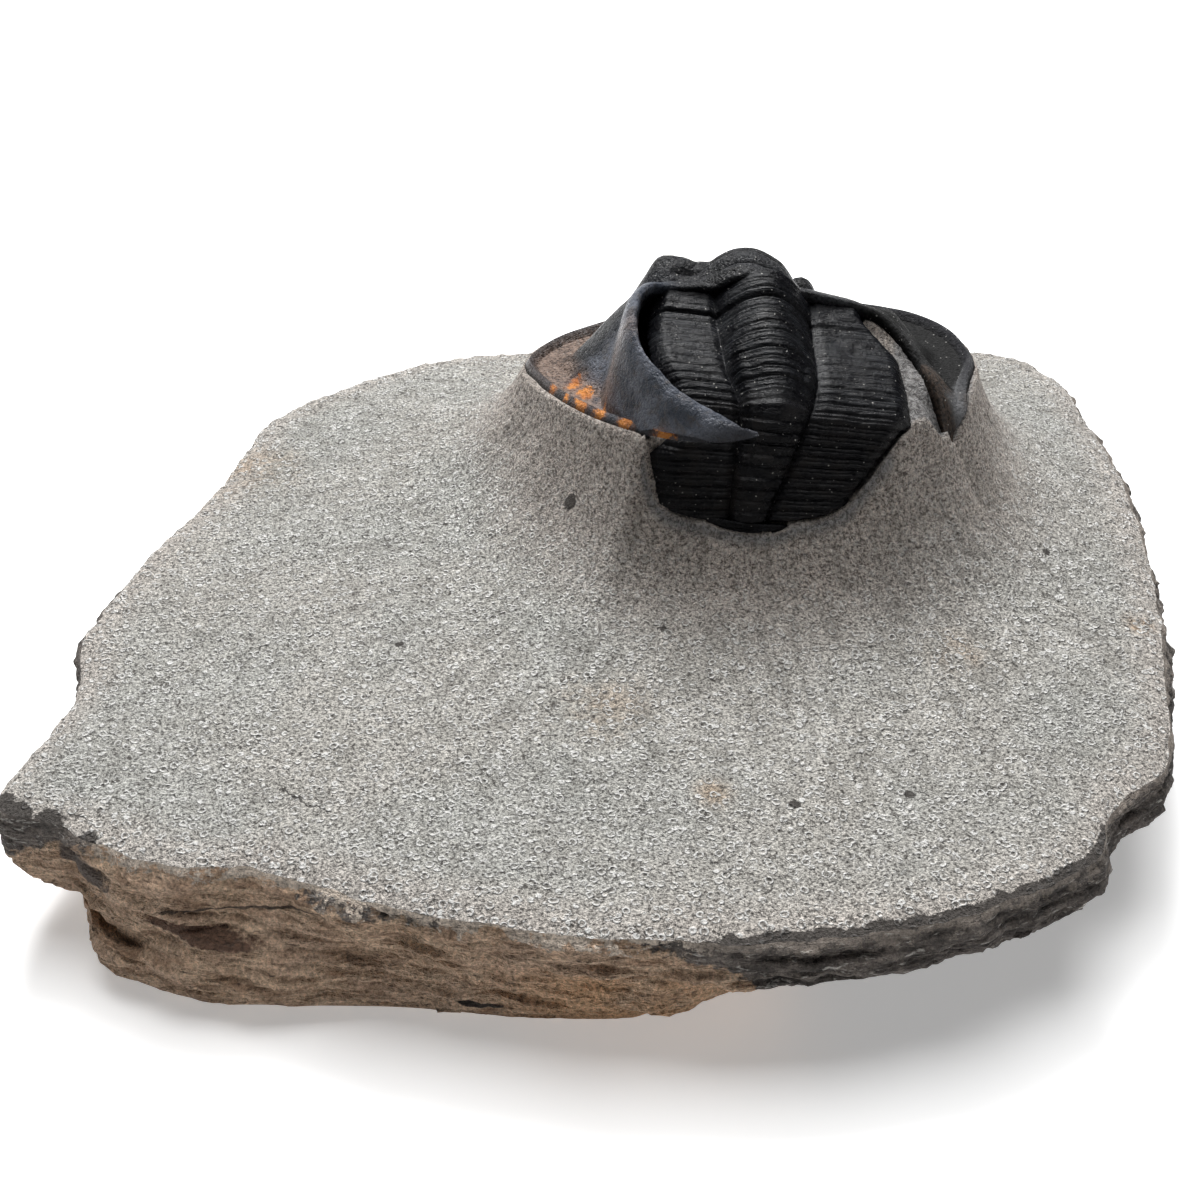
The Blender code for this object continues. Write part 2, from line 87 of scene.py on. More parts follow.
# How finely the stone is cut up, and how rough it is.
COLUMNS_OF_ROCK = 720
SEAT_ROWS = 30
TOP_ROWS = 100
SIDE_ROWS = 84
BASE_ROWS = 10
MARK_SPACING = 0.8
MARK_DEPTH = 0.09
FURROW_DEPTH = 0.09
RIM_RAGGEDNESS = 0.35
RIM_DROP = 0.35
TOP_UNEVENNESS = 0.35
TOP_ROUGHNESS = 0.16
# Low ridges round the rear of the fossil: distance from it, half width and height.
CONTACT_RIDGES = ((0.30, 0.32, 0.24), (1.25, 0.45, 0.10))
# Heights of the lumps and leaves of the break, its laminae, and how far they are shifted.
BIG_LUMPS = 0.45
SMALL_LUMPS = 0.35
BIG_LEAVES = 0.34
SMALL_LEAVES = 0.24
LAMINA = 0.62
LAMINA_SHIFT = 0.45
BASE_HOLLOWS = 0.28
# Along the profile of the break from the rim to the foot, the share at each of its corners.
PROFILE_STOPS = (0.0, 0.04, 0.10, 0.26, 0.36, 0.42, 0.62, 0.82, 0.96, 1.0)
# Rays from the middle of the mound that find the fossil, and the stone's margin round it.
LONGEST_RAY = 24.0
RAY_STEP = 0.08
PEDESTAL_MARGIN = 0.12
STRIP_FROM = 17.0
HOLLOW_LEVEL = 27.0
STONE_ON_RIM = 0.05
OVERHANG_FROM = -2.0
OVERHANG_ABOVE = 25.5

# Head shield, in its own frame: u to the right, v forward, w up, from the middle of its hind margin.
CEPHALON_ORIGIN = (9.8, 12.0, 32.0)
CEPHALON_ROLL = -3.0
OUTER_RIM = (
    (-0.3, -17.1, -3.3), (-3.2, -17.1, -3.7), (-6.8, -15.9, -4.0), (-11.5, -11.8, -4.9), (-16.0, -6.0, -5.7),
    (-18.6, -0.9, -6.4), (-20.4, 4.4, -7.0), (-19.2, 8.0, -7.3), (-16.0, 11.4, -7.4), (-9.0, 14.6, -7.2),
    (0.0, 16.2, -7.1), (9.0, 15.2, -7.3), (15.3, 13.0, -7.5), (18.8, 9.6, -7.5), (20.4, 5.0, -7.2),
    (20.5, 0.4, -6.9), (19.4, -3.2, -6.9), (18.4, -5.8, -7.6), (17.3, -8.0, -8.7), (17.0, -9.5, -9.4),
)
INNER_MARGIN = (
    (-0.5, -16.8, -3.1), (-2.2, -16.9, -2.5), (-4.7, -15.6, -1.7), (-6.6, -14.0, -0.9), (-8.4, -11.3, 0.4),
    (-9.6, -8.5, 1.9), (-9.5, -5.0, 2.9), (-8.6, -2.0, 3.0), (-7.0, 0.0, 2.0), (-3.4, 0.2, 1.8),
    (0.0, 0.3, 1.8), (3.4, 0.2, 1.2), (7.0, 0.3, 0.1), (9.8, 0.4, -0.9), (11.6, -0.2, -1.7),
    (13.1, -1.8, -2.9), (14.3, -4.0, -4.1), (14.7, -6.6, -4.2), (15.4, -8.2, -6.2), (16.2, -9.6, -8.6),
)
# Height above the rim by the distance in from it: a hollow brim, a steep cheek, a flat top.
HEAD_PROFILE = (
    (0.0, 0.0), (0.9, -0.3), (3.7, 0.2), (5.7, 2.2), (7.7, 4.8), (9.6, 7.0), (11.6, 8.5), (14.0, 9.5),
    (17.0, 10.0), (24.0, 10.2),
)
COLUMNS_OF_HEAD = 460
ROWS_OF_HEAD = 84
STOPS_ON_RIM = 3200
MARGIN_WIDTH = 4.0
BRIM_WIDENING = 0.34
SHELL_THICKNESS = 0.9
THINNEST_SHARE = 0.15
SHELL_GRAIN = 0.05
RIM_LIFT = 0.5
RIM_WIDTH = 0.9
LIP_AT = 0.5
LIP_HALF_WIDTH = 0.9
LIP_HEIGHT = 0.22
TIP_THINNING = 4.5
WRINKLE_DEPTH = 0.144
WRINKLE_SIZE = 0.9
# Grooves along the hind edge of the head: distance from the edge, half width and depth.
HIND_GROOVES = ((1.35, 0.45, 0.30), (2.6, 0.5, 0.22))
# A swelling: its middle, its half widths to the side, backwards and forwards, and its height.
GLABELLA = ((-0.2, 3.0), (4.7, 4.2, 8.5), 2.1)
OCCIPITAL_RING = ((0.0, 0.6), (3.6, 0.8, 0.8), 0.6)
LEFT_EYE = ((-7.2, 4.0), (3.0, 3.1, 2.8), 2.9)
EYE_ROUNDNESS = 1.3
EYE_RIDGE = ((-4.9, 3.9), (2.6, 1.5, 1.8), 1.5)
RIGHT_EYE = ((5.1, 4.0), (1.2, 1.4, 1.4), 2.6)
RIGHT_CHEEK_WEAR = 3.4

# Thorax, in its own frame: u to the right, v forward, w up, from near the same point.
THORAX_ORIGIN = (10.6, 12.0, 32.0)
THORAX_ROLL = 7.0
THORAX_START = (-0.5, 0.3)
SEGMENT_PITCH = 0.97
SEGMENTS = 23
ROWS_OF_SEGMENT = 12
RIB_HEIGHT = ((0.0, 0.10), (8.0, 0.13), (11.5, 0.29), (15.0, 0.34), (22.0, 0.32))
RING_HEIGHT = 0.30
JUNCTION_START = -1.5
JUNCTION_RISE = 1.0
JUNCTION_LENGTH = 5.5
KNEE_AT = 12.0
KNEE_RADIUS = 2.2
FRONT_SLOPE = (5.0, 19.0)
REAR_SLOPE = 67.0
REAR_TWIST = 0.105
# Along the thorax: distance from its front, then the value there.
AXIS_MIDDLE = ((0.0, 0.3), (12.0, 1.1), (17.0, 0.6), (22.0, -0.1))
AXIS_HALF_WIDTH = ((0.0, 4.3), (9.0, 3.9), (12.5, 3.1), (17.0, 2.4), (22.0, 1.6))
AXIS_HEIGHT = ((0.0, 2.7), (6.0, 2.3), (10.0, 1.75), (14.0, 1.3), (22.0, 0.95))
LEFT_WIDTH = ((0.0, 9.3), (4.0, 9.6), (8.0, 9.2), (11.5, 7.6), (15.5, 6.9), (17.3, 8.8), (21.3, 7.4),
              (21.8, 6.4), (22.1, 5.2), (22.3, 3.6))
RIGHT_WIDTH = ((0.0, 9.7), (4.0, 12.3), (8.0, 12.6), (12.0, 12.7), (21.3, 7.8), (21.8, 6.6),
               (22.1, 5.3), (22.3, 3.6))
PLEURA_EDGE = 2.4
PLEURA_DROP = 1.1
THORAX_THICKNESS = 0.9
AXIS_COLUMNS = 48
PLEURA_COLUMNS = 44
AXIS_FURROW = 0.22
FIRST_FURROW = 0.50
FIRST_FURROW_AT = 1.8
FIRST_FURROW_HALF_WIDTH = 0.38
AXIS_NODE = 0.32
PYGIDIUM_LENGTH = 0.95
PYGIDIUM_HALF_WIDTH = 3.5
PYGIDIUM_HEIGHT = 0.9
PYGIDIUM_RIB_HEIGHT = 0.10

# Iron stains on the left brim, in the head's own frame: middle, half length and width, and turn.
RUST_SPOTS = (
    ((-17.6, -2.8), (1.1, 0.7), -50.0), ((-16.2, -4.6), (1.5, 0.6), 70.0), ((-15.4, -0.4), (2.4, 1.5), 75.0),
    ((-14.6, -2.6), (2.2, 1.4), 80.0), ((-12.2, -7.2), (1.3, 0.5), 75.0), ((-15.2, -7.2), (1.7, 0.6), -55.0),
    ((-13.4, -9.3), (1.4, 0.6), -50.0), ((-11.1, -11.9), (1.6, 0.9), -40.0),
    ((-10.2, -12.3), (1.0, 0.5), 60.0), ((-7.9, -14.8), (1.8, 0.8), -35.0),
)
# The smooth grey break at the right end of the brim, a triangle in the head's own frame.
FACET_CORNERS = ((15.9, -6.9), (17.6, -8.4), (19.9, -0.8))
# Spots on the dressed top: x and y of the middle, how far each reaches and how strong it is.
OCHRE_SPOTS = (
    (5.3, -29.6, 2.3, 0.55), (42.5, -8.2, 1.9, 1.0), (-36.5, 16.5, 7.0, 0.45), (-3.2, -20.1, 6.0, 0.40),
    (26.0, -14.0, 4.0, 0.35),
)
DARK_CHIPS = (
    (-5.7, 0.0, 1.2, 1.0), (-47.6, -30.2, 2.2, 1.0), (-46.2, -31.2, 2.4, 1.0), (-44.0, -32.0, 2.0, 1.0),
    (-40.6, -33.2, 1.5, 0.9), (11.2, -30.8, 0.9, 0.9), (19.6, -29.5, 0.8, 0.8), (36.1, -0.2, 0.7, 0.8),
    (-20.0, -12.0, 0.8, 0.7), (2.0, -12.0, 0.8, 0.6),
)
# The hairline crack in the dressed top: where it starts, its direction, its middle and half its length.
CRACK_START = (-27.0, -28.9)
CRACK_DIRECTION = (0.85, -0.53)
CRACK_MIDDLE = 2.3
CRACK_REACH = 2.6
# Dark places on the front of the break: middle in x and z, half width and height, rise to the right, tone.
BREAK_PATCHES = (
    (-31.8, 6.9, 4.6, 0.55, -0.06, (0.140, 0.078, 0.050)),
    (-41.4, 9.0, 2.3, 1.2, -0.30, (0.140, 0.110, 0.092)),
    (-12.2, 2.9, 2.4, 0.30, -0.12, (0.045, 0.034, 0.026)),
    (-29.0, 9.0, 6.5, 0.09, 0.14, (0.100, 0.072, 0.052)),
)

# Tones of the dressed stone.
STONE_COOL = (0.48, 0.478, 0.45)
STONE_WARM = (0.53, 0.508, 0.47)
STONE_MOTTLE = (0.31, 0.297, 0.267)
# Browner stone on the slope by the fossil, darkened as well with painted shade.
STONE_BROWN_AND_SHADE_ON_SLOPE = (0.4, 0.328, 0.284)
STONE_AT_RIM = (0.59, 0.528, 0.48)
OCHRE = (0.42, 0.25, 0.11)
# Pale rings of the tool marks, lightened further with a painted highlight.
RING_WHITE_AND_HIGHLIGHT = (0.94, 0.93, 0.905)
# Painted shade in the pit of each tool mark.
PIT_SHADE = (0.16, 0.152, 0.138)
# Painted shade in the radial furrows.
FURROW_SHADE = (0.2, 0.188, 0.166)
SPECK_DARK = (0.075, 0.066, 0.058)
SCRATCH_DARK = (0.1, 0.09, 0.08)
FLECK_PALE = (0.78, 0.715, 0.65)
FLECK_DARK = (0.085, 0.068, 0.058)
CHIP_DARK = (0.035, 0.028, 0.024)
CRACK_DARK = (0.05, 0.044, 0.04)
STRIP_PALE = (0.29, 0.29, 0.29)
STRIP_DARK = (0.05, 0.05, 0.053)
# Tones of the break.
TAN_DEEP = (0.39, 0.252, 0.164)
TAN_PALE = (0.72, 0.522, 0.362)
TAN_BLOTCH = (0.62, 0.44, 0.318)
TAN_ORANGE = (0.72, 0.445, 0.255)
BED_CRACK = (0.085, 0.055, 0.038)
BAND_DARK = (0.06, 0.051, 0.045)
BAND_PALE = (0.19, 0.163, 0.143)
BAND_STREAK = (0.56, 0.53, 0.49)
HOLLOW_DARK = (0.045, 0.036, 0.03)
EDGE_CREAM = (0.64, 0.545, 0.455)
# Tones of the shells.
HEAD_BLACK = (0.007, 0.007, 0.008)
HEAD_CHARCOAL = (0.022, 0.023, 0.026)
# Painted shade over the right side of the head.
HEAD_SHADE_ON_RIGHT = (0.005, 0.005, 0.005)
BLUE_DEEP = (0.036, 0.043, 0.058)
BLUE_PALE = (0.112, 0.122, 0.148)
BLUE_WORN = (0.072, 0.06, 0.052)
FRINGE_DEEP = (0.095, 0.066, 0.052)
FRINGE_PALE = (0.25, 0.182, 0.146)
RIM_BLACK = (0.024, 0.024, 0.028)
BLADE_DEEP = (0.012, 0.009, 0.007)
BLADE_PALE = (0.058, 0.042, 0.033)
FACET_GREY = (0.105, 0.106, 0.11)
RUST_HALO = (0.25, 0.11, 0.055)
RUST_DEEP = (0.33, 0.11, 0.03)
RUST_BRIGHT = (0.56, 0.21, 0.04)
HEAD_SPECK = (0.45, 0.44, 0.42)
BODY_BLACK = (0.003, 0.003, 0.004)
BODY_CHARCOAL = (0.01, 0.011, 0.013)
BODY_STREAK = (0.03, 0.031, 0.034)
BODY_BROWN = (0.012, 0.009, 0.007)
BODY_SPECK = (0.5, 0.49, 0.46)

# Camera, lamps, floor and sky. These places are in metres.
CAMERA_AT = (-0.0032, -0.1215, 0.0946)
CAMERA_TILT = 55.0
LENS = 49.44
SENSOR_WIDTH = 36.0
NEAREST_SEEN = 0.005
LAMPS = (("window", (-0.05, 0.36, 0.46), 0.26, 4.7), ("ceiling", (0.0, 0.15, 0.70), 0.5, 4.7))
FLOOR_GLOW = 0.34
FLOOR_REACH = 3000.0
FLOOR_SINK = 0.0001
SKY_DIRECTION = (-0.3, 0.6, 1.0)
SKY_STRENGTH = (0.48, 1.04)


def smoothstep(t):
    t = np.clip(t, 0.0, 1.0)
    return t * t * (3.0 - 2.0 * t)


def mix(a, b, t):
    return a + (b - a) * t


def bell(t):
    """1 at the middle, 0 from t = 1 outwards, with a smooth top and foot."""
    return (1.0 - np.minimum(np.abs(t), 1.0) ** 2) ** 2


def read_off(table, x):
    """Value at x on the straight runs between the pairs of a table."""
    return np.interp(x, [row[0] for row in table], [row[1] for row in table])


def smooth_curve(points, count, closed=False):
    """Evenly spaced points along a Catmull-Rom curve through the given ones."""
    p = [Vector(q) for q in points]
    n = len(p)
    dense = []
    for i in range(n if closed else n - 1):
        if closed:
            a, b, c, d = (p[(i + k) % n] for k in (-1, 0, 1, 2))
        else:
            a, b, c, d = (p[min(max(i + k, 0), n - 1)] for k in (-1, 0, 1, 2))
        for step in range(32):
            t = step / 32
            dense.append(0.5 * (2 * b + (c - a) * t + (2 * a - 5 * b + 4 * c - d) * t * t
                                + (3 * b - a - 3 * c + d) * t ** 3))
    dense.append(dense[0] if closed else p[-1])
    way = np.concatenate([[0.0], np.cumsum([(q - r).length for q, r in zip(dense[1:], dense)])])
    stops = np.linspace(0.0, way[-1], count, endpoint=not closed)
    table = np.array([tuple(q) for q in dense])
    return np.stack([np.interp(stops, way, table[:, k]) for k in range(table.shape[1])], 1)


def grain(points, size, seed=0.0, stretch=(1.0, 1.0, 1.0)):
    """Smooth noise from -1 to 1 at an array of points. Its lumps are about size across."""
    scaled = np.asarray(points, float) / size / np.array(stretch) + seed
    flat = scaled.reshape(-1, 3)
    values = np.array([noise.noise(Vector(p)) for p in flat])
    return values.reshape(scaled.shape[:-1])


def roughen(points, size, seed=0.0, octaves=3, stretch=(1.0, 1.0, 1.0)):
    """Noise in several sizes at once, each half as large and half as strong as the one before."""
    total = 0.0
    for k in range(octaves):
        total = total + grain(points, size / 2 ** k, seed + 13.7 * k, stretch) / 2 ** k
    return total


def surface_mesh(name, points, ring=False, tip=None, foot=None, masks=None):
    """A mesh over a table of points, rows by columns. A ring joins its last column to its first."""
    rows, columns = points.shape[:2]
    vertices = [tuple(p) for p in points.reshape(-1, 3) * MM]
    faces = []
    for i in range(rows - 1):
        for j in range(columns if ring else columns - 1):
            k = (j + 1) % columns
            faces.append((i * columns + j, i * columns + k, (i + 1) * columns + k, (i + 1) * columns + j))
    for pole, row in ((tip, 0), (foot, rows - 1)):
        if pole is None:
            continue
        vertices.append(tuple(np.array(pole) * MM))
        for j in range(columns):
            a, b = row * columns + j, row * columns + (j + 1) % columns
            faces.append((b, a, len(vertices) - 1) if row == 0 else (a, b, len(vertices) - 1))
    mesh = bpy.data.meshes.new(name)
    mesh.from_pydata(vertices, [], faces)
    for mask, values in (masks or {}).items():
        attribute = mesh.attributes.new(mask, "FLOAT", "POINT")
        filled = np.zeros(len(vertices), np.float32)
        filled[:rows * columns] = values.reshape(-1)
        attribute.data.foreach_set("value", filled)
    return mesh


def add_piece(name, mesh, material):
    piece = bpy.data.objects.new(name, mesh)
    mesh.materials.append(material)
    mesh.shade_smooth()
    bpy.context.scene.collection.objects.link(piece)
    return piece


def settle(piece):
    """Turns a piece's modifiers into plain mesh."""
    graph = bpy.context.evaluated_depsgraph_get()
    made = bpy.data.meshes.new_from_object(piece.evaluated_get(graph))
    old = piece.data
    piece.modifiers.clear()
    piece.data = made
    made.name = piece.name
    bpy.data.meshes.remove(old)


def thicken(piece, thickness, share=None):
    """Gives a surface its wall. Share thins the wall from 1, full, down to 0 at each vertex."""
    shell = piece.modifiers.new("shell", "SOLIDIFY")
    shell.thickness = thickness * MM
    shell.offset = -1.0
    shell.use_even_offset = False
    if share is not None:
        group = piece.vertex_groups.new(name="wall")
        for index, weight in enumerate(share.reshape(-1)):
            group.add([index], float(weight), "REPLACE")
        shell.vertex_group = group.name
        shell.thickness_vertex_group = THINNEST_SHARE
    settle(piece)
    piece.vertex_groups.clear()


def placed(points, origin, roll):
    """Points from a fossil frame, in the model's frame."""
    turn = np.array(Euler((0.0, math.radians(roll), 0.0)).to_matrix())
    return points @ turn.T + np.array(origin)


def swelling(u, v, shape, roundness=2.0):
    """Height of a swelling at (u, v). The lower its roundness, the more pointed it is."""
    middle, (across, back, front), height = shape
    along = np.where(v > middle[1], front, back)
    away = np.hypot((u - middle[0]) / across, (v - middle[1]) / along)
    return height * (1.0 - np.minimum(away, 1.0) ** roundness) ** 2


def distance_to(curve, u, v):
    flat_u, flat_v = u.reshape(-1), v.reshape(-1)
    nearest = [np.min(np.hypot(curve[:, 0] - a, curve[:, 1] - b)) for a, b in zip(flat_u, flat_v)]
    return np.array(nearest).reshape(u.shape)


def build_head(material):
    """The head shield: a hollow brim with a raised rim, a steep cheek, the eyes and the glabella."""
    outer = smooth_curve(OUTER_RIM, COLUMNS_OF_HEAD)
    inner = smooth_curve(INNER_MARGIN, COLUMNS_OF_HEAD)
    rim = smooth_curve(OUTER_RIM, STOPS_ON_RIM)
    profile = smooth_curve([(d, h, 0.0) for d, h in HEAD_PROFILE], 80)[:, :2]
    share = np.linspace(0.0, 1.0, ROWS_OF_HEAD)[:, None]
    u = mix(outer[None, :, 0], inner[None, :, 0], share)
    v = mix(outer[None, :, 1], inner[None, :, 1], share)
    from_rim = distance_to(rim, u, v)
    narrowed = 1.0 - BRIM_WIDENING * smoothstep((v - 2.0) / 8.0)
    w = outer[None, :, 2] + read_off(profile, narrowed * from_rim)
    w += RIM_LIFT * bell(from_rim / RIM_WIDTH)
    length = np.hypot(*(outer[:, :2] - inner[:, :2]).T)[None, :]
    at_margin = outer[:, 2] + read_off(profile, distance_to(rim, inner[:, 0], inner[:, 1]))
    near_margin = smoothstep(1.0 - (1.0 - share) * length / np.minimum(MARGIN_WIDTH, length))
    w += (inner[:, 2] - at_margin)[None, :] * near_margin
    for shape in (GLABELLA, OCCIPITAL_RING, EYE_RIDGE, RIGHT_EYE):
        w += swelling(u, v, shape)
    w += swelling(u, v, LEFT_EYE, EYE_ROUNDNESS)
    worn = smoothstep((u - 2.5) / 3.0) * smoothstep((13.0 - u) / 3.0) * smoothstep((9.0 - v) / 5.0)
    w -= RIGHT_CHEEK_WEAR * worn * (1.0 - near_margin)

    from_margin = (1.0 - share) * length
    on_left = smoothstep((-1.5 - u) / 3.0)
    w += LIP_HEIGHT * bell((from_margin - LIP_AT) / LIP_HALF_WIDTH) * on_left * smoothstep(length / 3.0)
    middle = smoothstep((7.5 - np.abs(u)) / 2.0) * smoothstep((v + 1.0) / 1.0)
    for at, half_width, depth in HIND_GROOVES:
        w -= depth * bell((from_margin - at) / half_width) * middle
    points = np.stack([u, v, w], -1)
    roll_band = bell((from_rim * narrowed - 5.2) / 2.6) * smoothstep((-2.0 - u) / 4.0)
    along = np.broadcast_to(np.arange(COLUMNS_OF_HEAD) * 0.21, u.shape)
    ripple = grain(np.stack([along, from_rim * 0.25, 0 * u], -1), WRINKLE_SIZE, 3.0)
    w += WRINKLE_DEPTH * roll_band * ripple
    w += SHELL_GRAIN * roughen(points, 1.6, 5.0) * (1.0 - bell(from_rim / 0.8))
    world = placed(np.stack([u, v, w], -1), CEPHALON_ORIGIN, CEPHALON_ROLL)
    fringe = smoothstep((5.6 - from_rim * narrowed) / 1.8) * smoothstep((v + 9.5) / 5.0)
    fringe *= smoothstep((11.0 - u) / 3.0)
    rim_mask = bell(from_rim / 0.75)
    blue = smoothstep((-5.5 - u) / 3.0) * smoothstep((3.5 - v) / 4.0)
    blue = np.maximum(blue, smoothstep((-8.0 - v) / 3.0) * smoothstep((0.8 - u) / 1.5))
    blade = smoothstep((-4.6 - v) / 1.2) * smoothstep((u - 10.0) / 1.0)
    # On the right side of the head the shell is rougher and darkened with painted shade.
    masks = {"fringe": fringe, "rim": rim_mask, "rust": rust_on_head(u, v), "blue": blue,
             "facet": fracture_facet(u, v), "blade": blade, "dull_and_shaded": smoothstep((u - 8.5) / 2.5)}
    piece = add_piece("cephalon_shell", surface_mesh("cephalon", world, masks=masks), material)
    to_tip = np.hypot(u - OUTER_RIM[0][0], v - OUTER_RIM[0][1])
    to_blade = np.hypot(u - OUTER_RIM[-1][0], v - OUTER_RIM[-1][1])
    thicken(piece, SHELL_THICKNESS, smoothstep(np.minimum(to_tip, 1.6 * to_blade) / TIP_THINNING))
    return piece


def rust_on_head(u, v):
    """Where orange iron stain shows on the brim."""
    total = np.zeros_like(u)
    for (mu, mv), (a, b), turn in RUST_SPOTS:
        c, s = math.cos(math.radians(turn)), math.sin(math.radians(turn))
        du, dv = u - mu, v - mv
        total = np.maximum(total, bell(np.hypot((du * c + dv * s) / a, (dv * c - du * s) / b)))
    return total


def fracture_facet(u, v):
    """1 inside the break at the right end of the brim, 0 outside it."""
    inside = 1.0
    for (au, av), (bu, bv) in zip(FACET_CORNERS, FACET_CORNERS[1:] + FACET_CORNERS[:1]):
        length = math.hypot(bu - au, bv - av)
        inside = np.minimum(inside, smoothstep(0.5 + ((bu - au) * (v - av) - (bv - av) * (u - au)) / length))
    return inside


def thorax_slope(distance):
    """Slope of the back in radians: nearly level in front, steep behind the knee."""
    if distance < KNEE_AT:
        return math.radians(mix(*FRONT_SLOPE, max(distance, 0.0) / KNEE_AT))
    bend = KNEE_RADIUS * math.radians(REAR_SLOPE - FRONT_SLOPE[1])
    return math.radians(mix(FRONT_SLOPE[1], REAR_SLOPE, float(smoothstep((distance - KNEE_AT) / bend))))


def along_thorax(distance):
    """Side view of the thorax: v, w and slope at a distance along its back from the head."""
    v, w = THORAX_START
    steps = max(int(abs(distance) / 0.05), 1)
    for i in range(steps):
        slope = thorax_slope(max(distance * (i + 0.5) / steps, 0.0))
        v -= math.cos(slope) * distance / steps
        w -= math.sin(slope) * distance / steps
    return v, w, thorax_slope(distance)


def thorax_row(distance):
    """A fine cross-section: ringed axis, ribbed side plates whose edges bend down."""
    v, w, slope = along_thorax(distance)
    middle, half_axis = read_off(AXIS_MIDDLE, distance), read_off(AXIS_HALF_WIDTH, distance)
    height = read_off(AXIS_HEIGHT, distance)
    left, right = -read_off(LEFT_WIDTH, distance), read_off(RIGHT_WIDTH, distance)
    phase = (distance / SEGMENT_PITCH) % 1.0
    uneven = 0.75 + 0.9 * noise.noise(Vector((3.1 * math.floor(distance / SEGMENT_PITCH), 7.7, 0.0)))
    ring = uneven * (1.0 - abs(2.0 * phase - 1.0) ** 5.0) + 0.35 * float(bell((phase - 0.30) / 0.12))
    rib = 1.0 - abs(2.0 * phase - 1.0) ** 3.0 - 0.45 * float(bell((phase - 0.40) / 0.14))
    behind_head = float(smoothstep(1.0 - (distance - JUNCTION_START) / JUNCTION_LENGTH))
    first = float(bell((distance - FIRST_FURROW_AT) / FIRST_FURROW_HALF_WIDTH))
    knotted = float(smoothstep((distance - 5.0) / 5.0))
    rib_height = read_off(RIB_HEIGHT, distance)
    row = []
    for side, edge in ((-1, left), (1, right)):
        inner_u = middle + side * half_axis
        cut = FIRST_FURROW * first * (1.0 if side < 0 else 0.3)
        for t in np.linspace(1.0, 0.0, PLEURA_COLUMNS, endpoint=False):
            u = mix(inner_u, edge, t)
            fall = max(PLEURA_EDGE - (1.0 - t) * abs(edge), 0.0) / PLEURA_EDGE
            tip = float(smoothstep((1.0 - t) * abs(edge) / 0.5))
            furrow = float(bell(t / 0.12))
            lift = -PLEURA_DROP * fall ** 2 + rib_height * rib * mix(0.35, 1.0, tip) - AXIS_FURROW * furrow
            lift += JUNCTION_RISE * behind_head * (1.0 - 0.6 * fall) - cut
            row.append((u + side * 0.10 * rib * (1.0 - tip), lift))
    for angle in np.linspace(-0.5 * math.pi, 0.5 * math.pi, AXIS_COLUMNS):
        t = math.sin(angle)
        dome = mix((1.0 - t * t) ** 1.25, 1.0 - t * t, 0.3)
        lift = height * dome + RING_HEIGHT * ring * (1.0 - t ** 4) - AXIS_FURROW * t ** 8
        lift += AXIS_NODE * ring * float(bell((abs(t) - 0.80) / 0.20)) * knotted
        lift += JUNCTION_RISE * behind_head * (0.8 + 0.2 * t * t) - FIRST_FURROW * first
        row.append((middle + half_axis * t, lift))
    row.sort()
    twist = REAR_TWIST * float(smoothstep((distance - KNEE_AT) / (SEGMENTS * SEGMENT_PITCH - KNEE_AT)))
    return [(u, v - lift * math.sin(slope), w + lift * math.cos(slope) + twist * u) for u, lift in row]


def build_body(material):
    """The thorax: one surface over the axis and both rows of side plates."""
    end = SEGMENTS * SEGMENT_PITCH
    distances = np.arange(JUNCTION_START, end + 0.01, SEGMENT_PITCH / ROWS_OF_SEGMENT)
    points = np.array([thorax_row(d) for d in distances])
    rear = np.broadcast_to(smoothstep((distances - KNEE_AT + 1.0) / 3.0)[:, None], points.shape[:2])
    points = placed(points, THORAX_ORIGIN, THORAX_ROLL)
    lines_across = grain(points, 0.5, 15.0, (3.0, 1.0, 1.0))
    points[..., 2] += SHELL_GRAIN * roughen(points, 1.6, 9.0) + SHELL_GRAIN * lines_across
    mesh = surface_mesh("thorax", points[::-1], masks={"rear": rear[::-1]})
    return add_piece("thorax_shell", mesh, material)


def build_tail(material):
    """The small tail shield, a half oval that carries on where the thorax ends."""
    end = SEGMENTS * SEGMENT_PITCH
    v, w, slope = along_thorax(end)
    middle = read_off(AXIS_MIDDLE, end)
    share = np.linspace(-1.0, 1.0, 61)[None, :]
    t = np.linspace(0.0, 1.0, 36)[:, None]
    reach = PYGIDIUM_LENGTH * t
    half_width = PYGIDIUM_HALF_WIDTH * np.sqrt(1.0 - (0.85 * t) ** 2)
    ribs = PYGIDIUM_RIB_HEIGHT * np.abs(np.sin(3.0 * math.pi * t)) * bell(share)
    lift = PYGIDIUM_HEIGHT * (1.0 - share ** 2) * (1.0 - 0.6 * t) + ribs
    u = middle + half_width * share
    back = v - math.cos(slope) * reach - lift * math.sin(slope)
    up = w - math.sin(slope) * reach + lift * math.cos(slope)
    points = placed(np.stack([u, back, up], -1), THORAX_ORIGIN, THORAX_ROLL)
    return add_piece("pygidium_shell", surface_mesh("pygidium", points[::-1]), material)


def tree_of(pieces):
    vertices, faces = [], []
    for piece in pieces:
        start = len(vertices)
        vertices += [v.co / MM for v in piece.data.vertices]
        faces += [[start + k for k in polygon.vertices] for polygon in piece.data.polygons]
    return BVHTree.FromPolygons(vertices, faces)


def radius_at(outline, angles):
    away = smooth_curve(outline, 720, closed=True) - MOUND_CENTRE
    direction = np.arctan2(away[:, 1], away[:, 0])
    order = np.argsort(direction)
    return np.interp(angles, direction[order], np.hypot(*away.T)[order], period=2 * math.pi)


def rim_height(y):
    return mix(RIM_HEIGHT_FRONT, RIM_HEIGHT_BACK, smoothstep((y + 40.0) / 80.0))


def on_rays(radius, angles, z):
    x = MOUND_CENTRE[0] + radius * np.cos(angles)
    y = MOUND_CENTRE[1] + radius * np.sin(angles)
    return np.stack([x, y, np.broadcast_to(z, np.shape(x))], -1)


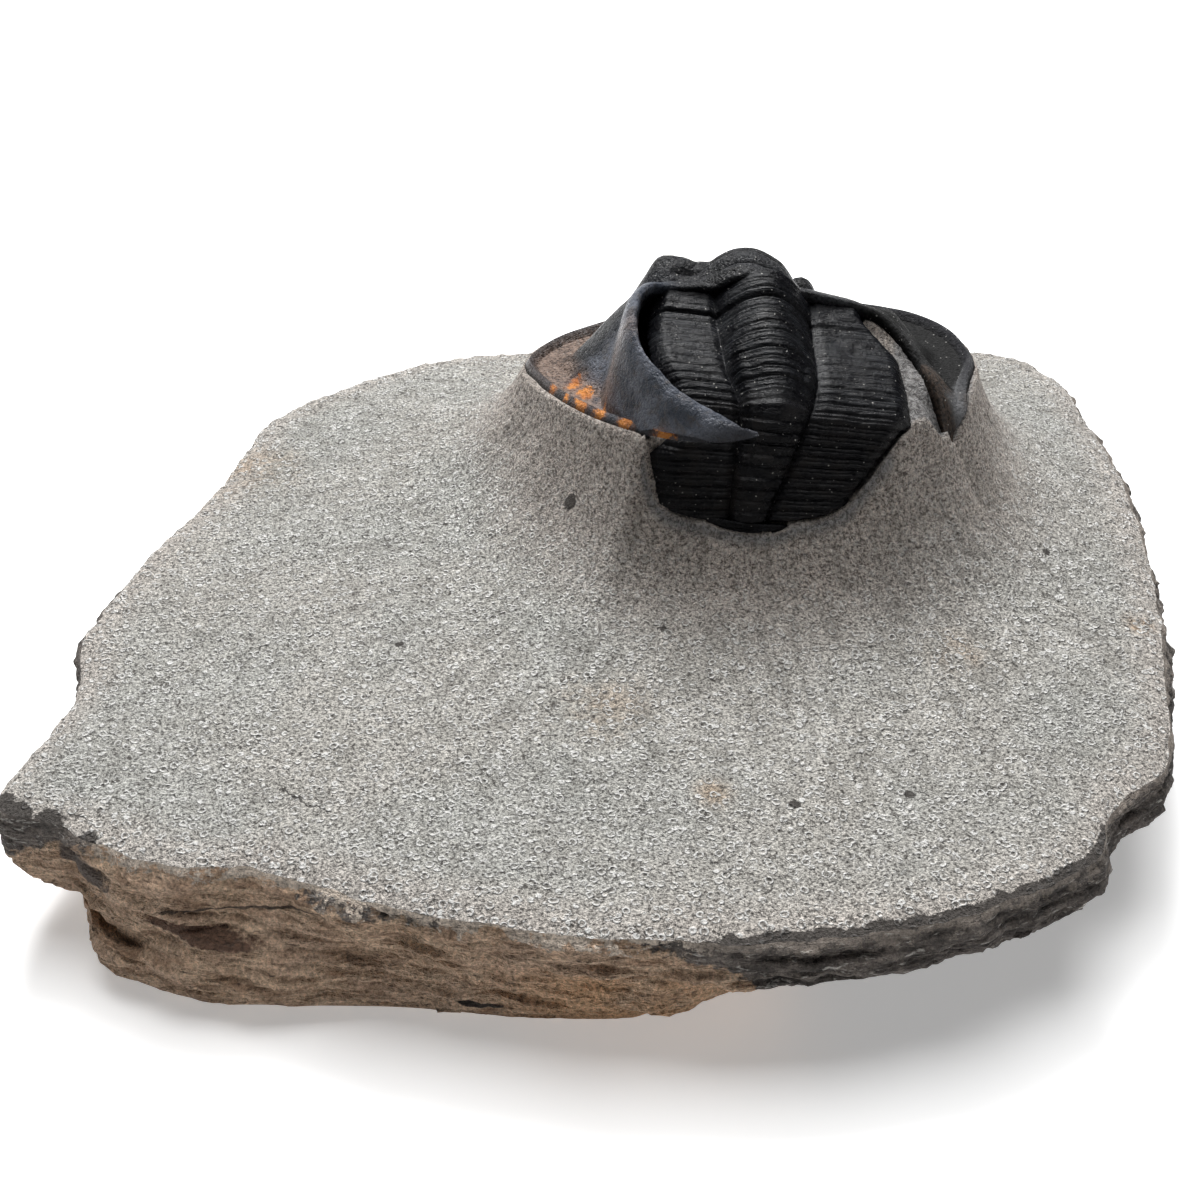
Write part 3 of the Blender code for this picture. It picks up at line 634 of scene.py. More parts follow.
def cover(x, y, fossil):
    """Height of the fossil's underside over (x, y), or None. The brim's left end hangs free over the tail."""
    hit = fossil.ray_cast(Vector((x, y, 0.0)), Vector((0.0, 0.0, 1.0)))[0]
    if hit is None or (y < OVERHANG_FROM and hit.z > OVERHANG_ABOVE):
        return None
    return hit.z


def smooth_ring(values, reach):
    """Running mean round a ring, with soft ends."""
    weights = np.hanning(2 * reach + 3)[1:-1]
    return sum(w * np.roll(values, k - reach) for k, w in enumerate(weights)) / weights.sum()


def fossil_edges():
    """Edges of the shells with stone between them: the head's inner margin and the thorax's right side."""
    margin = placed(smooth_curve(INNER_MARGIN, 240), CEPHALON_ORIGIN, CEPHALON_ROLL)
    distances = np.linspace(0.0, SEGMENTS * SEGMENT_PITCH, 160)
    side = np.array([thorax_row(d)[-1] for d in distances])
    return margin, placed(side, THORAX_ORIGIN, THORAX_ROLL)


def open_seat(x, y, edges):
    """Height of the stone where it shows between the head's margin and the thorax."""
    margin, side = edges
    to_side = np.hypot(side[:, 0] - x, side[:, 1] - y)
    to_margin = np.hypot(margin[:, 0] - x, margin[:, 1] - y)
    a, b = to_side.min() + 0.01, to_margin.min() + 0.01
    level = ((side[to_side.argmin(), 2] - 0.35) * b + (margin[to_margin.argmin(), 2] + 0.1) * a) / (a + b)
    return level - 0.12


def stains(points, spots):
    """Strength of the strongest spot at each point."""
    total = np.zeros(points.shape[:2])
    for x, y, reach, strength in spots:
        flat = np.hypot(points[..., 0] - x, points[..., 1] - y)
        middle = points.reshape(-1, 3)[flat.argmin()]
        total = np.maximum(total, strength * bell(np.linalg.norm(points - middle, axis=-1) / reach))
    return total


def reach_of_fossil(angles, fossil):
    """How far the fossil reaches from the middle of the mound, along each ray."""
    reach = []
    for angle in angles:
        r = LONGEST_RAY
        while cover(*on_rays(r, angle, 0.0)[:2], fossil) is None:
            r -= RAY_STEP
        reach.append(r)
    return np.array(reach)


def contact_line(reach, angles, fossil):
    """Where the mound meets the fossil: at the top of the head's rim, or at the underside of the thorax."""
    line = on_rays(reach, angles, 0.0)
    rim_wall = placed(smooth_curve(OUTER_RIM, 900) + (0.0, 0.0, RIM_LIFT), CEPHALON_ORIGIN, CEPHALON_ROLL)
    for k, (r, angle) in enumerate(zip(reach, angles)):
        below = [cover(*on_rays(r - inwards, angle, 0.0)[:2], fossil) for inwards in (0.0, 0.3, 0.6, 0.9)]
        lowest = min(z for z in below if z is not None)
        to_rim = np.hypot(rim_wall[:, 0] - line[k, 0], rim_wall[:, 1] - line[k, 1])
        rim_z = rim_wall[to_rim.argmin(), 2]
        on_rim = to_rim.min() < 1.2 and abs(rim_z - lowest) < 1.6
        line[k, 2] = rim_z + STONE_ON_RIM if on_rim else lowest + 0.15
    line[:, 2] = smooth_ring(line[:, 2], 4)
    return line


def mound_rows(angles, rim, fossil):
    """Rows of points from the middle of the seat under the fossil, down the mound and out to the rim."""
    reach = reach_of_fossil(angles, fossil)
    widest = np.max([np.roll(reach, k) for k in range(-10, 11)], 0)
    pedestal = np.maximum(smooth_ring(widest, 14), reach) + PEDESTAL_MARGIN
    line, edges = contact_line(reach, angles, fossil), fossil_edges()

    def seat(r, angle, limit):
        x, y, _ = on_rays(r, angle, 0.0)
        under = cover(x, y, fossil)
        nearness = 1.0 / (np.hypot(line[:, 0] - x, line[:, 1] - y) + 0.05) ** 4
        level = float((line[:, 2] * nearness).sum() / nearness.sum())
        if r >= limit:
            return level
        strip = float(smoothstep((x - STRIP_FROM) / 2.0))
        hidden = min(level + 0.15 + 1.0 * (limit - r), HOLLOW_LEVEL)
        inside = mix(hidden, open_seat(x, y, edges), strip)
        if r > limit - 1.5:
            inside = mix(level, inside, (limit - r) / 1.5) if under is None else inside
        return inside if under is None else min(under + 0.12, inside + 0.05)

    edge_height = np.array([seat(p, a, r) for r, p, a in zip(reach, pedestal, angles)])
    edge_height = smooth_ring(edge_height, 3)
    rows = []
    for share in np.linspace(0.12, 1.0, SEAT_ROWS, endpoint=False):
        r = share ** 0.6 * pedestal
        z = np.array([seat(a, b, c) for a, b, c in zip(r, angles, reach)])
        rows.append(on_rays(r, angles, z))
    length = rim - pedestal
    low = rim_height(MOUND_CENTRE[1] + rim * np.sin(angles))
    for share in np.linspace(0.0, 1.0, TOP_ROWS) ** 1.25:
        steep = (edge_height - low - MOUND_RISE) * np.exp(-share * length / FLANK_LENGTH)
        rows.append(on_rays(pedestal + share * length, angles, low + MOUND_RISE * (1.0 - share) + steep))
    return np.array(rows), pedestal, edge_height


def worked_top(top, angles, length, pedestal, edge_height):
    """Roughens the rows of the top as the tool left them, and returns the masks of their finishes and of
    their painted shade.
    """
    outside = np.zeros(top.shape[:2])
    outside[SEAT_ROWS:] = 1.0
    away = np.hypot(top[..., 0] - MOUND_CENTRE[0], top[..., 1] - MOUND_CENTRE[1]) - pedestal
    flat = top * (1.0, 1.0, 0.0)
    top[..., 2] += TOP_UNEVENNESS * grain(flat, 11.0, 31.0) * smoothstep(away / 8.0)
    polar = np.stack([np.broadcast_to(angles * 34.0, away.shape), away / 5.0, 0 * away], -1)
    furrows = grain(polar, 0.95, 41.0)
    top[..., 2] += FURROW_DEPTH * furrows * smoothstep(away / 1.5)
    in_strip = smoothstep((top[..., 0] - STRIP_FROM) / 2.0) * smoothstep((away + 8.0) / 1.0)
    top[..., 2] += TOP_ROUGHNESS * roughen(top, 0.9, 51.0, 3) * np.maximum(smoothstep(away / 0.8), in_strip)
    behind = smoothstep((1.0 - top[..., 1]) / 2.0) * smoothstep((26.5 - edge_height)[None] / 1.0)
    ridges = sum(height * bell((away - at) / half_width) for at, half_width, height in CONTACT_RIDGES)
    top[..., 2] += ridges * behind
    top[..., 2] -= RIM_DROP * smoothstep(1.0 - (length - away) / 1.6) ** 2 * outside
    front_right = smoothstep((top[..., 0] + 2.0) / 12.0) * smoothstep((-30.0 - top[..., 1]) / 4.0)
    crumbled = smoothstep(1.0 - (length - away) / 1.3) + 0.45 * grain(flat, 1.0, 91.0)
    return {
        # near_fossil: the slope by the fossil, browner and darkened with painted shade, with fainter ring
        # marks and more flecks.
        "near_fossil": smoothstep(1.0 - away / (8.0 + 5.0 * smoothstep(-np.sin(angles)))),
        "at_rim": smoothstep(1.0 - (length - away) / 5.0),
        # The low side of the furrows, darkened with painted shade.
        "furrow": furrows * smoothstep((32.0 - away) / 14.0),
        "worked": smoothstep((away - 0.5) / 1.5),
        "strip": in_strip * smoothstep(-away / 0.6),
        "contact": bell((away - 0.25) / 0.5) * behind,
        "ochre": stains(top, OCHRE_SPOTS),
        "chip": np.maximum(stains(top, DARK_CHIPS), crumbled * front_right * outside),
    }


def build_stone(top_material, side_material, fossil):
    """The block of limestone: its dressed top with the mound, and its broken side."""
    outline = smooth_curve(RIM_OUTLINE, COLUMNS_OF_ROCK, closed=True) - MOUND_CENTRE
    angles = np.arctan2(outline[:, 1], outline[:, 0])
    rim = radius_at(RIM_OUTLINE, angles)
    rim = rim + RIM_RAGGEDNESS * roughen(on_rays(rim, angles, 0.0), 3.0, 21.0)
    top, pedestal, edge_height = mound_rows(angles, rim, fossil)
    masks = worked_top(top, angles, rim - pedestal, pedestal, edge_height)
    peak = (MOUND_CENTRE[0], MOUND_CENTRE[1], float(top[0, :, 2].mean()))
    mesh = surface_mesh("dressed_top", top, ring=True, tip=peak, masks=masks)
    dressed = add_piece("dressed_stone", mesh, top_material)

    side, masks = broken_side(top[-1], angles)
    foot = (MOUND_CENTRE[0], MOUND_CENTRE[1], 0.25)
    mesh = surface_mesh("broken_side", side, ring=True, foot=foot, masks=masks)
    return dressed, add_piece("broken_stone", mesh, side_material)


def broken_side(rim_ring, angles):
    """Rows of points down the broken side of the block, from the rim to the flat base and in under it."""
    base = radius_at(BASE_OUTLINE, angles)
    reach = np.hypot(*(rim_ring[:, :2] - MOUND_CENTRE).T)
    top = rim_ring[:, 2]
    thin = smoothstep((reach - base - 4.5) / 5.0)
    at_tip = smoothstep((-30.0 - rim_ring[:, 0]) / 8.0) * smoothstep((-18.0 - rim_ring[:, 1]) / 8.0)
    bed = mix(BED_DEPTH, BED_DEPTH_AT_TIP, at_tip)
    step = mix(BED_STEP, BED_STEP_AT_TIP, at_tip * smoothstep((-37.0 - rim_ring[:, 0]) / 4.0))
    zero = 0.0 * top
    foot_out = np.maximum(base + LOWER_BULGE - reach, 0.0)
    thick = [
        (reach, top), (reach + 0.35, top - 0.45), (reach + 0.5 + 0.15 * foot_out, top - EDGE_ROUNDING),
        (reach + 0.1 + 0.40 * foot_out, top - 0.75 * bed), (reach - 0.3 * step + 0.52 * foot_out, top - bed),
        (np.maximum(reach - step + 0.62 * foot_out, base + 0.4), top - bed - 0.7),
        (np.maximum(reach - step + 0.2, base + LOWER_BULGE), 0.36 * top), (base + LOWER_BULGE, 0.2 * top),
        (base + 0.5, zero + 0.5), (base, zero),
    ]
    flare = reach + PLATE_FLARE
    plate = [
        (reach, top), (reach + 0.4, top - 0.45), (reach + 0.6, top - EDGE_ROUNDING),
        (flare, top - 0.55 * PLATE_DEPTH), (flare - 0.6, top - 0.85 * PLATE_DEPTH),
        (reach - 1.4, top - PLATE_DEPTH - 0.7),
        (mix(reach, base, 0.35), mix(top - PLATE_DEPTH, 0.0, 0.45)),
        (mix(reach, base, 0.7), mix(top - PLATE_DEPTH, 0.0, 0.72)), (base + 0.8, zero + 0.5), (base, zero),
    ]
    stops = np.array(PROFILE_STOPS)
    radii = np.array([mix(a[0], b[0], thin) for a, b in zip(thick, plate)])
    heights = np.array([mix(a[1], b[1], thin) for a, b in zip(thick, plate)])
    rows = []
    for t in np.linspace(0.0, 1.0, SIDE_ROWS):
        k = min(int(np.searchsorted(stops, t, side="right")) - 1, len(stops) - 2)
        f = (t - stops[k]) / (stops[k + 1] - stops[k])
        soft = mix(f, float(smoothstep(f)), 0.35)
        rows.append((mix(radii[k], radii[k + 1], soft), mix(heights[k], heights[k + 1], soft), t))
    points = np.array([on_rays(r, angles, z) for r, z, _ in rows])
    t = np.array([row[2] for row in rows])[:, None]
    free = smoothstep(t / 0.06) * smoothstep((1.0 - t) / 0.10)
    out = np.stack([np.cos(angles), np.sin(angles), zero], -1)[None]
    lumps = BIG_LUMPS * grain(points, 6.0, 61.0, (1.0, 1.0, 0.8))
    lumps += SMALL_LUMPS * grain(points, 2.4, 63.0, (1.3, 1.3, 0.7))
    leaves = BIG_LEAVES * roughen(points, 1.2, 67.0, 3, (2.6, 2.6, 0.5))
    leaves += SMALL_LEAVES * roughen(points, 0.8, 69.0, 2)
    dip = points[..., 2] + 0.9 * grain(points, 16.0, 71.0, (1.0, 1.0, 4.0))
    level = np.floor(dip / LAMINA)
    shift = grain(np.stack([points[..., 0] / 6.0, points[..., 1] / 6.0, level * 3.7], -1), 1.0, 73.0)
    points += out * ((lumps + leaves + LAMINA_SHIFT * shift) * free)[..., None]
    points[..., 2] += 0.20 * grain(points, 4.5, 79.0) * free
    below = np.maximum(top[None] - points[..., 2], 0.0)
    inner = []
    for share in np.linspace(0.97, 0.12, BASE_ROWS):
        ring = on_rays(base * share, angles, zero)
        hollow = np.clip(roughen(ring, 5.0, 83.0) + 0.25, 0.0, 1.0)
        ring[:, 2] = BASE_HOLLOWS * hollow * float(smoothstep((1 - share) / 0.1))
        inner.append(ring)
    points = np.concatenate([points, np.array(inner)])
    points[..., 2] = np.maximum(points[..., 2], 0.0)
    low, high = (np.array(corner) / MM for corner in CAD_BOX)
    below = np.concatenate([below, np.full((BASE_ROWS, len(angles)), 12.0)])
    return np.clip(points, low + 0.02, high - 0.02), {"below": below}


# Shader helpers. Each adds nodes to a tree and returns an output.
def node(tree, kind, inputs=None, out=0, **settings):
    made = tree.nodes.new(kind)
    for name, value in settings.items():
        setattr(made, name, value)
    for name, value in (inputs or {}).items():
        if isinstance(value, bpy.types.NodeSocket):
            tree.links.new(value, made.inputs[name])
        else:
            made.inputs[name].default_value = value
    return made.outputs[out]


def maths(tree, operation, a, b=0.0):
    return node(tree, "ShaderNodeMath", {0: a, 1: b}, operation=operation)


def times(tree, a, b):
    return maths(tree, "MULTIPLY", a, b)


def plus(tree, a, b):
    return maths(tree, "ADD", a, b)


def minus(tree, a, b):
    return maths(tree, "SUBTRACT", a, b)


def between(tree, a, b):
    """Distance between two values."""
    return maths(tree, "ABSOLUTE", minus(tree, a, b))


def weighed(tree, *terms):
    """Sum of values, each times its weight."""
    total = times(tree, *terms[0])
    for value, weight in terms[1:]:
        total = plus(tree, total, times(tree, value, weight))
    return total


def spread(tree, value, low, high, to_low=0.0, to_high=1.0):
    """A smooth step from to_low, where the value is low, to to_high, where it is high."""
    inputs = {"Value": value, "From Min": low, "From Max": high, "To Min": to_low, "To Max": to_high}
    return node(tree, "ShaderNodeMapRange", inputs, interpolation_type="SMOOTHSTEP")


def colour(tree, share, a, b):
    """Colour a where share is 0, colour b where it is 1."""
    made = tree.nodes.new("ShaderNodeMix")
    made.data_type = "RGBA"
    for socket, value in ((made.inputs[0], share), (made.inputs[6], a), (made.inputs[7], b)):
        if isinstance(value, bpy.types.NodeSocket):
            tree.links.new(value, socket)
        else:
            socket.default_value = (*value, 1.0) if isinstance(value, tuple) else value
    return made.outputs[2]


def laid_over(tree, tone, *layers):
    """Lays colours over a tone one after another, each by its share."""
    for share, over in layers:
        tone = colour(tree, share, tone, over)
    return tone


def place(tree, stretch=(1.0, 1.0, 1.0), turn=(0.0, 0.0, 0.0)):
    """Object coordinates in millimetres, stretched and turned."""
    coordinates = node(tree, "ShaderNodeTexCoord", out=3)
    scale = tuple(1.0 / MM / s for s in stretch)
    return node(tree, "ShaderNodeMapping", {"Vector": coordinates, "Scale": scale, "Rotation": turn})


def along_axes(tree, here):
    return node(tree, "ShaderNodeSeparateXYZ", {"Vector": here}).node.outputs


def cloud(tree, where, size, detail=3.0, rough=0.55, warp=0.0):
    inputs = {"Vector": where, "Scale": 1.0 / size, "Detail": detail, "Roughness": rough, "Distortion": warp}
    return node(tree, "ShaderNodeTexNoise", inputs)


def cells(tree, where, size):
    """Distance to the nearest of many scattered points."""
    return node(tree, "ShaderNodeTexVoronoi", {"Vector": where, "Scale": 1.0 / size, "Randomness": 1.0})


def mask(tree, name):
    return node(tree, "ShaderNodeAttribute", out=2, attribute_name=name)


def bump(tree, height, depth):
    return node(tree, "ShaderNodeBump", {"Height": height, "Distance": depth * MM, "Strength": 1.0})


def new_material(name, base, roughness):
    material = bpy.data.materials.new(name)
    material.use_nodes = True
    shader = material.node_tree.nodes["Principled BSDF"]
    shader.inputs["Base Color"].default_value = (*base, 1.0)
    shader.inputs["Roughness"].default_value = roughness
    material.diffuse_color = (*base, 1.0)
    return material, material.node_tree, shader.inputs


def new_group(name, inputs, outputs):
    """An empty shader node group, with its named inputs and its output node."""
    group = bpy.data.node_groups.new(name, "ShaderNodeTree")
    for sockets, in_out in ((inputs, "INPUT"), (outputs, "OUTPUT")):
        for socket, kind in sockets:
            group.interface.new_socket(socket, in_out=in_out, socket_type="NodeSocket" + kind)
    return group, group.nodes.new("NodeGroupInput").outputs, group.nodes.new("NodeGroupOutput").inputs


def grit_group():
    """Fine grain over a tone. Both kinds of stone have it."""
    group, given, result = new_group(
        "grit", (("Place", "Vector"), ("Size", "Float"), ("Tone", "Color"), ("At Low", "Float"),
                 ("At High", "Float")), (("Tone", "Color"), ("Grain", "Float")))
    fine = node(group, "ShaderNodeTexNoise", {
        "Vector": given["Place"], "Scale": maths(group, "DIVIDE", 1.0, given["Size"]),
        "Detail": 3.0, "Roughness": 0.8})
    strength = node(group, "ShaderNodeMapRange", {
        "Value": fine, "From Min": 0.34, "From Max": 0.66,
        "To Min": given["At Low"], "To Max": given["At High"]})
    toned = node(group, "ShaderNodeVectorMath", {0: given["Tone"], "Scale": strength}, operation="SCALE")
    group.links.new(toned, result["Tone"])
    group.links.new(fine, result["Grain"])
    return group


def speck_group():
    """Pin-prick specks. Both kinds of shell have them."""
    group, given, result = new_group(
        "specks", (("Place", "Vector"), ("Spacing", "Float"), ("Reach", "Float"), ("Core", "Float")),
        (("Specks", "Float"),))
    to_speck = node(group, "ShaderNodeTexVoronoi", {
        "Vector": given["Place"], "Scale": maths(group, "DIVIDE", 1.0, given["Spacing"]), "Randomness": 1.0})
    group.links.new(spread(group, to_speck, given["Reach"], given["Core"]), result["Specks"])
    return group


def with_grit(tree, grit, here, size, tone, at_low, at_high):
    """The tone with grit over it, and the grit's grain."""
    inputs = {"Place": here, "Size": size, "Tone": tone, "At Low": at_low, "At High": at_high}
    return node(tree, "ShaderNodeGroup", inputs, node_tree=grit).node.outputs


def specks_on(tree, specks, here, spacing, reach, core):
    inputs = {"Place": here, "Spacing": spacing, "Reach": reach, "Core": core}
    return node(tree, "ShaderNodeGroup", inputs, node_tree=specks)


def hairline(tree, here, wander):
    """1 on the hairline crack of the dressed top, 0 off it."""
    x, y, _ = along_axes(tree, here)
    dx, dy = minus(tree, x, CRACK_START[0]), minus(tree, y, CRACK_START[1])
    c, s = CRACK_DIRECTION
    along = weighed(tree, (dx, c), (dy, s))
    aside = weighed(tree, (dx, -s), (dy, c), (minus(tree, wander, 0.5), 2.4))
    on_line = spread(tree, maths(tree, "ABSOLUTE", aside), 0.12, 0.04)
    return times(tree, on_line, spread(tree, between(tree, along, CRACK_MIDDLE), CRACK_REACH, 2.1))


def dressed_stone_material(grit):
    """Limestone worked with a fine vibrating point: broken ring marks with a painted highlight and painted
    shade in their pits, grit, stains, a hairline crack, and painted shade in the furrows and on the slope by
    the fossil.
    """
    material, tree, shader = new_material("dressed_limestone", (0.36, 0.345, 0.31), 0.88)
    here = place(tree)
    near, at_rim = mask(tree, "near_fossil"), mask(tree, "at_rim")
    calm = minus(tree, 1.0, times(tree, near, 0.8))
    to_mark = cells(tree, here, MARK_SPACING)
    wander, arcs = cloud(tree, here, 1.6, 3.0, 0.65), cloud(tree, here, 0.35, 2.0, 0.6)
    ring = spread(tree, between(tree, to_mark, 0.34), 0.14, 0.03)
    for share in (spread(tree, wander, 0.36, 0.52), calm, spread(tree, arcs, 0.36, 0.50)):
        ring = times(tree, ring, share)
    pit = times(tree, spread(tree, to_mark, 0.24, 0.06), calm)
    scratch, speck = cloud(tree, here, 0.55, 4.0, 0.75, 1.5), cloud(tree, here, 0.42, 3.0, 0.75)
    fleck = cloud(tree, here, 0.42, 4.0, 0.8)
    broad, mottle = cloud(tree, here, 16.0, 4.0, 0.5), cloud(tree, here, 3.0, 4.0, 0.65)

    tone = colour(tree, spread(tree, broad, 0.35, 0.65), STONE_COOL, STONE_WARM)
    tone = laid_over(
        tree, tone,
        (spread(tree, mottle, 0.58, 0.40, 0.0, 0.35), STONE_MOTTLE),
        # The slope by the fossil: browner stone with painted shade over it.
        (times(tree, near, 0.72), STONE_BROWN_AND_SHADE_ON_SLOPE),
        (times(tree, at_rim, 0.6), STONE_AT_RIM),
        (times(tree, mask(tree, "ochre"), spread(tree, mottle, 0.35, 0.6)), OCHRE))
    tone, fine = with_grit(tree, grit, here, 0.24, tone, 1.95, 0.06)
    chip = plus(tree, mask(tree, "chip"), times(tree, plus(tree, fine, mottle), 0.5))
    chip, crack = spread(tree, chip, 0.85, 1.0), hairline(tree, here, wander)
    pale = colour(tree, spread(tree, scratch, 0.42, 0.58), STRIP_PALE, STRIP_DARK)
    lit = maths(tree, "MAXIMUM", mask(tree, "strip"), mask(tree, "contact"))
    tone = laid_over(
        tree, tone,
        # Tool rings: pale stone with a painted highlight.
        (times(tree, ring, 0.95), RING_WHITE_AND_HIGHLIGHT),
        # Painted shade in the pits of the marks.
        (times(tree, pit, 0.62), PIT_SHADE),
        # Painted shade in the furrows.
        (times(tree, spread(tree, mask(tree, "furrow"), 0.15, -0.55), 0.34), FURROW_SHADE),
        (times(tree, spread(tree, speck, 0.565, 0.64), 0.88), SPECK_DARK),
        (spread(tree, scratch, 0.58, 0.66, 0.0, 0.7), SCRATCH_DARK),
        (times(tree, near, spread(tree, fleck, 0.54, 0.64)), FLECK_PALE),
        (times(tree, near, spread(tree, fleck, 0.46, 0.37)), FLECK_DARK),
        (times(tree, chip, 0.9), CHIP_DARK),
        (times(tree, crack, 0.9), CRACK_DARK),
        (times(tree, lit, 0.85), pale))
    tree.links.new(tone, shader["Base Color"])
    height = weighed(tree, (ring, 1.3), (fine, -2.6), (pit, -0.5), (scratch, -1.2),
                     (maths(tree, "MAXIMUM", crack, chip), -1.0))
    tree.links.new(bump(tree, height, 0.22), shader["Normal"])
    return material


def patch_on_front(tree, axes, chunk, at_x, at_z, half_x, half_z, rise):
    """An oval on the front of the break, in x and z, with a ragged edge and a slope to the right."""
    x, y, z = axes
    aside = minus(tree, x, at_x)
    across = maths(tree, "DIVIDE", aside, half_x)
    up = maths(tree, "DIVIDE", minus(tree, minus(tree, z, at_z), times(tree, aside, rise)), half_z)
    away = maths(tree, "SQRT", plus(tree, times(tree, across, across), times(tree, up, up)))
    away = plus(tree, away, times(tree, minus(tree, chunk, 0.5), 1.6))
    return times(tree, spread(tree, away, 1.15, 0.75), spread(tree, y, -20.0, -26.0))


def broken_stone_material(grit):
    """Weathered break: tan beds in front, a dark band that thickens to the right, dark grey behind."""
    material, tree, shader = new_material("broken_limestone", (0.25, 0.19, 0.13), 0.9)
    here = place(tree)
    bed, cracks = (cloud(tree, place(tree, (2.4, 2.4, 0.6)), 1.3, 5.0, 0.68),
                   cloud(tree, place(tree, (2.6, 2.6, 0.5)), 0.55, 4.0, 0.75))
    blotch, chunk = cloud(tree, here, 5.0, 4.0, 0.6), cloud(tree, here, 0.9, 4.0, 0.7)
    teeth = cloud(tree, place(tree, (1.0, 1.0, 0.8)), 1.5, 5.0, 0.75)
    streak = cloud(tree, place(tree, (2.2, 2.2, 0.35), (0.5, 0.2, 0.0)), 0.7, 3.0, 0.7, 0.6)
    axes = along_axes(tree, here)
    x, y, z = axes
    below = mask(tree, "below")

    orange = times(tree, times(tree, spread(tree, x, -14.0, -2.0), spread(tree, z, 9.0, 6.5)),
                   spread(tree, blotch, 0.25, 0.55))
    tan = colour(tree, spread(tree, bed, 0.38, 0.64), TAN_DEEP, TAN_PALE)
    tan = laid_over(
        tree, tan, (spread(tree, blotch, 0.42, 0.66, 0.0, 0.6), TAN_BLOTCH), (orange, TAN_ORANGE),
        *((patch_on_front(tree, axes, chunk, *oval), dark) for *oval, dark in BREAK_PATCHES),
        (spread(tree, cracks, 0.58, 0.68, 0.0, 0.8), BED_CRACK))

    band = colour(tree, spread(tree, bed, 0.36, 0.64), BAND_DARK, BAND_PALE)
    band = colour(tree, spread(tree, streak, 0.58, 0.68, 0.0, 0.85), band, BAND_STREAK)
    thin_strip = times(tree, spread(tree, x, -28.0, -23.0), spread(tree, x, -11.0, -15.0))
    thick = plus(tree, spread(tree, x, -9.0, 6.0, -1.9, 1.9), spread(tree, x, 5.0, 14.0, 0.0, 9.0))
    thick = plus(tree, thick, times(tree, thin_strip, 2.9))
    in_band = spread(tree, plus(tree, minus(tree, thick, below), times(tree, chunk, 4.4)), 1.8, 2.6)
    behind = spread(tree, plus(tree, y, times(tree, blotch, 8.0)), -22.0, -10.0)
    at_tip = spread(tree, weighed(tree, (chunk, 8.0), (below, 2.0), (x, 1.0)), -35.0, -36.5)
    is_dark = maths(tree, "MAXIMUM", maths(tree, "MAXIMUM", in_band, behind), at_tip)
    tone, fine = with_grit(tree, grit, here, 0.34, colour(tree, is_dark, tan, band), 1.5, 0.5)

    # The dressed top crumbles over the edge of the break, less so over the dark band.
    over_edge = spread(tree, minus(tree, times(tree, teeth, 6.0), below), 2.2, 2.6)
    over_edge = times(tree, over_edge, spread(tree, x, -42.0, -39.0))
    over_edge = times(tree, over_edge, spread(tree, x, 6.0, 0.0, 0.25, 1.0))
    cream, _ = with_grit(tree, grit, here, 0.30, (*EDGE_CREAM, 1.0), 1.5, 0.45)
    tone = laid_over(tree, tone, (spread(tree, chunk, 0.60, 0.70, 0.0, 0.6), HOLLOW_DARK), (over_edge, cream))
    tree.links.new(tone, shader["Base Color"])
    height = weighed(tree, (bed, 1.8), (fine, -0.8), (chunk, -0.8), (cracks, -1.4))
    tree.links.new(bump(tree, height, 0.65), shader["Normal"])
    return material


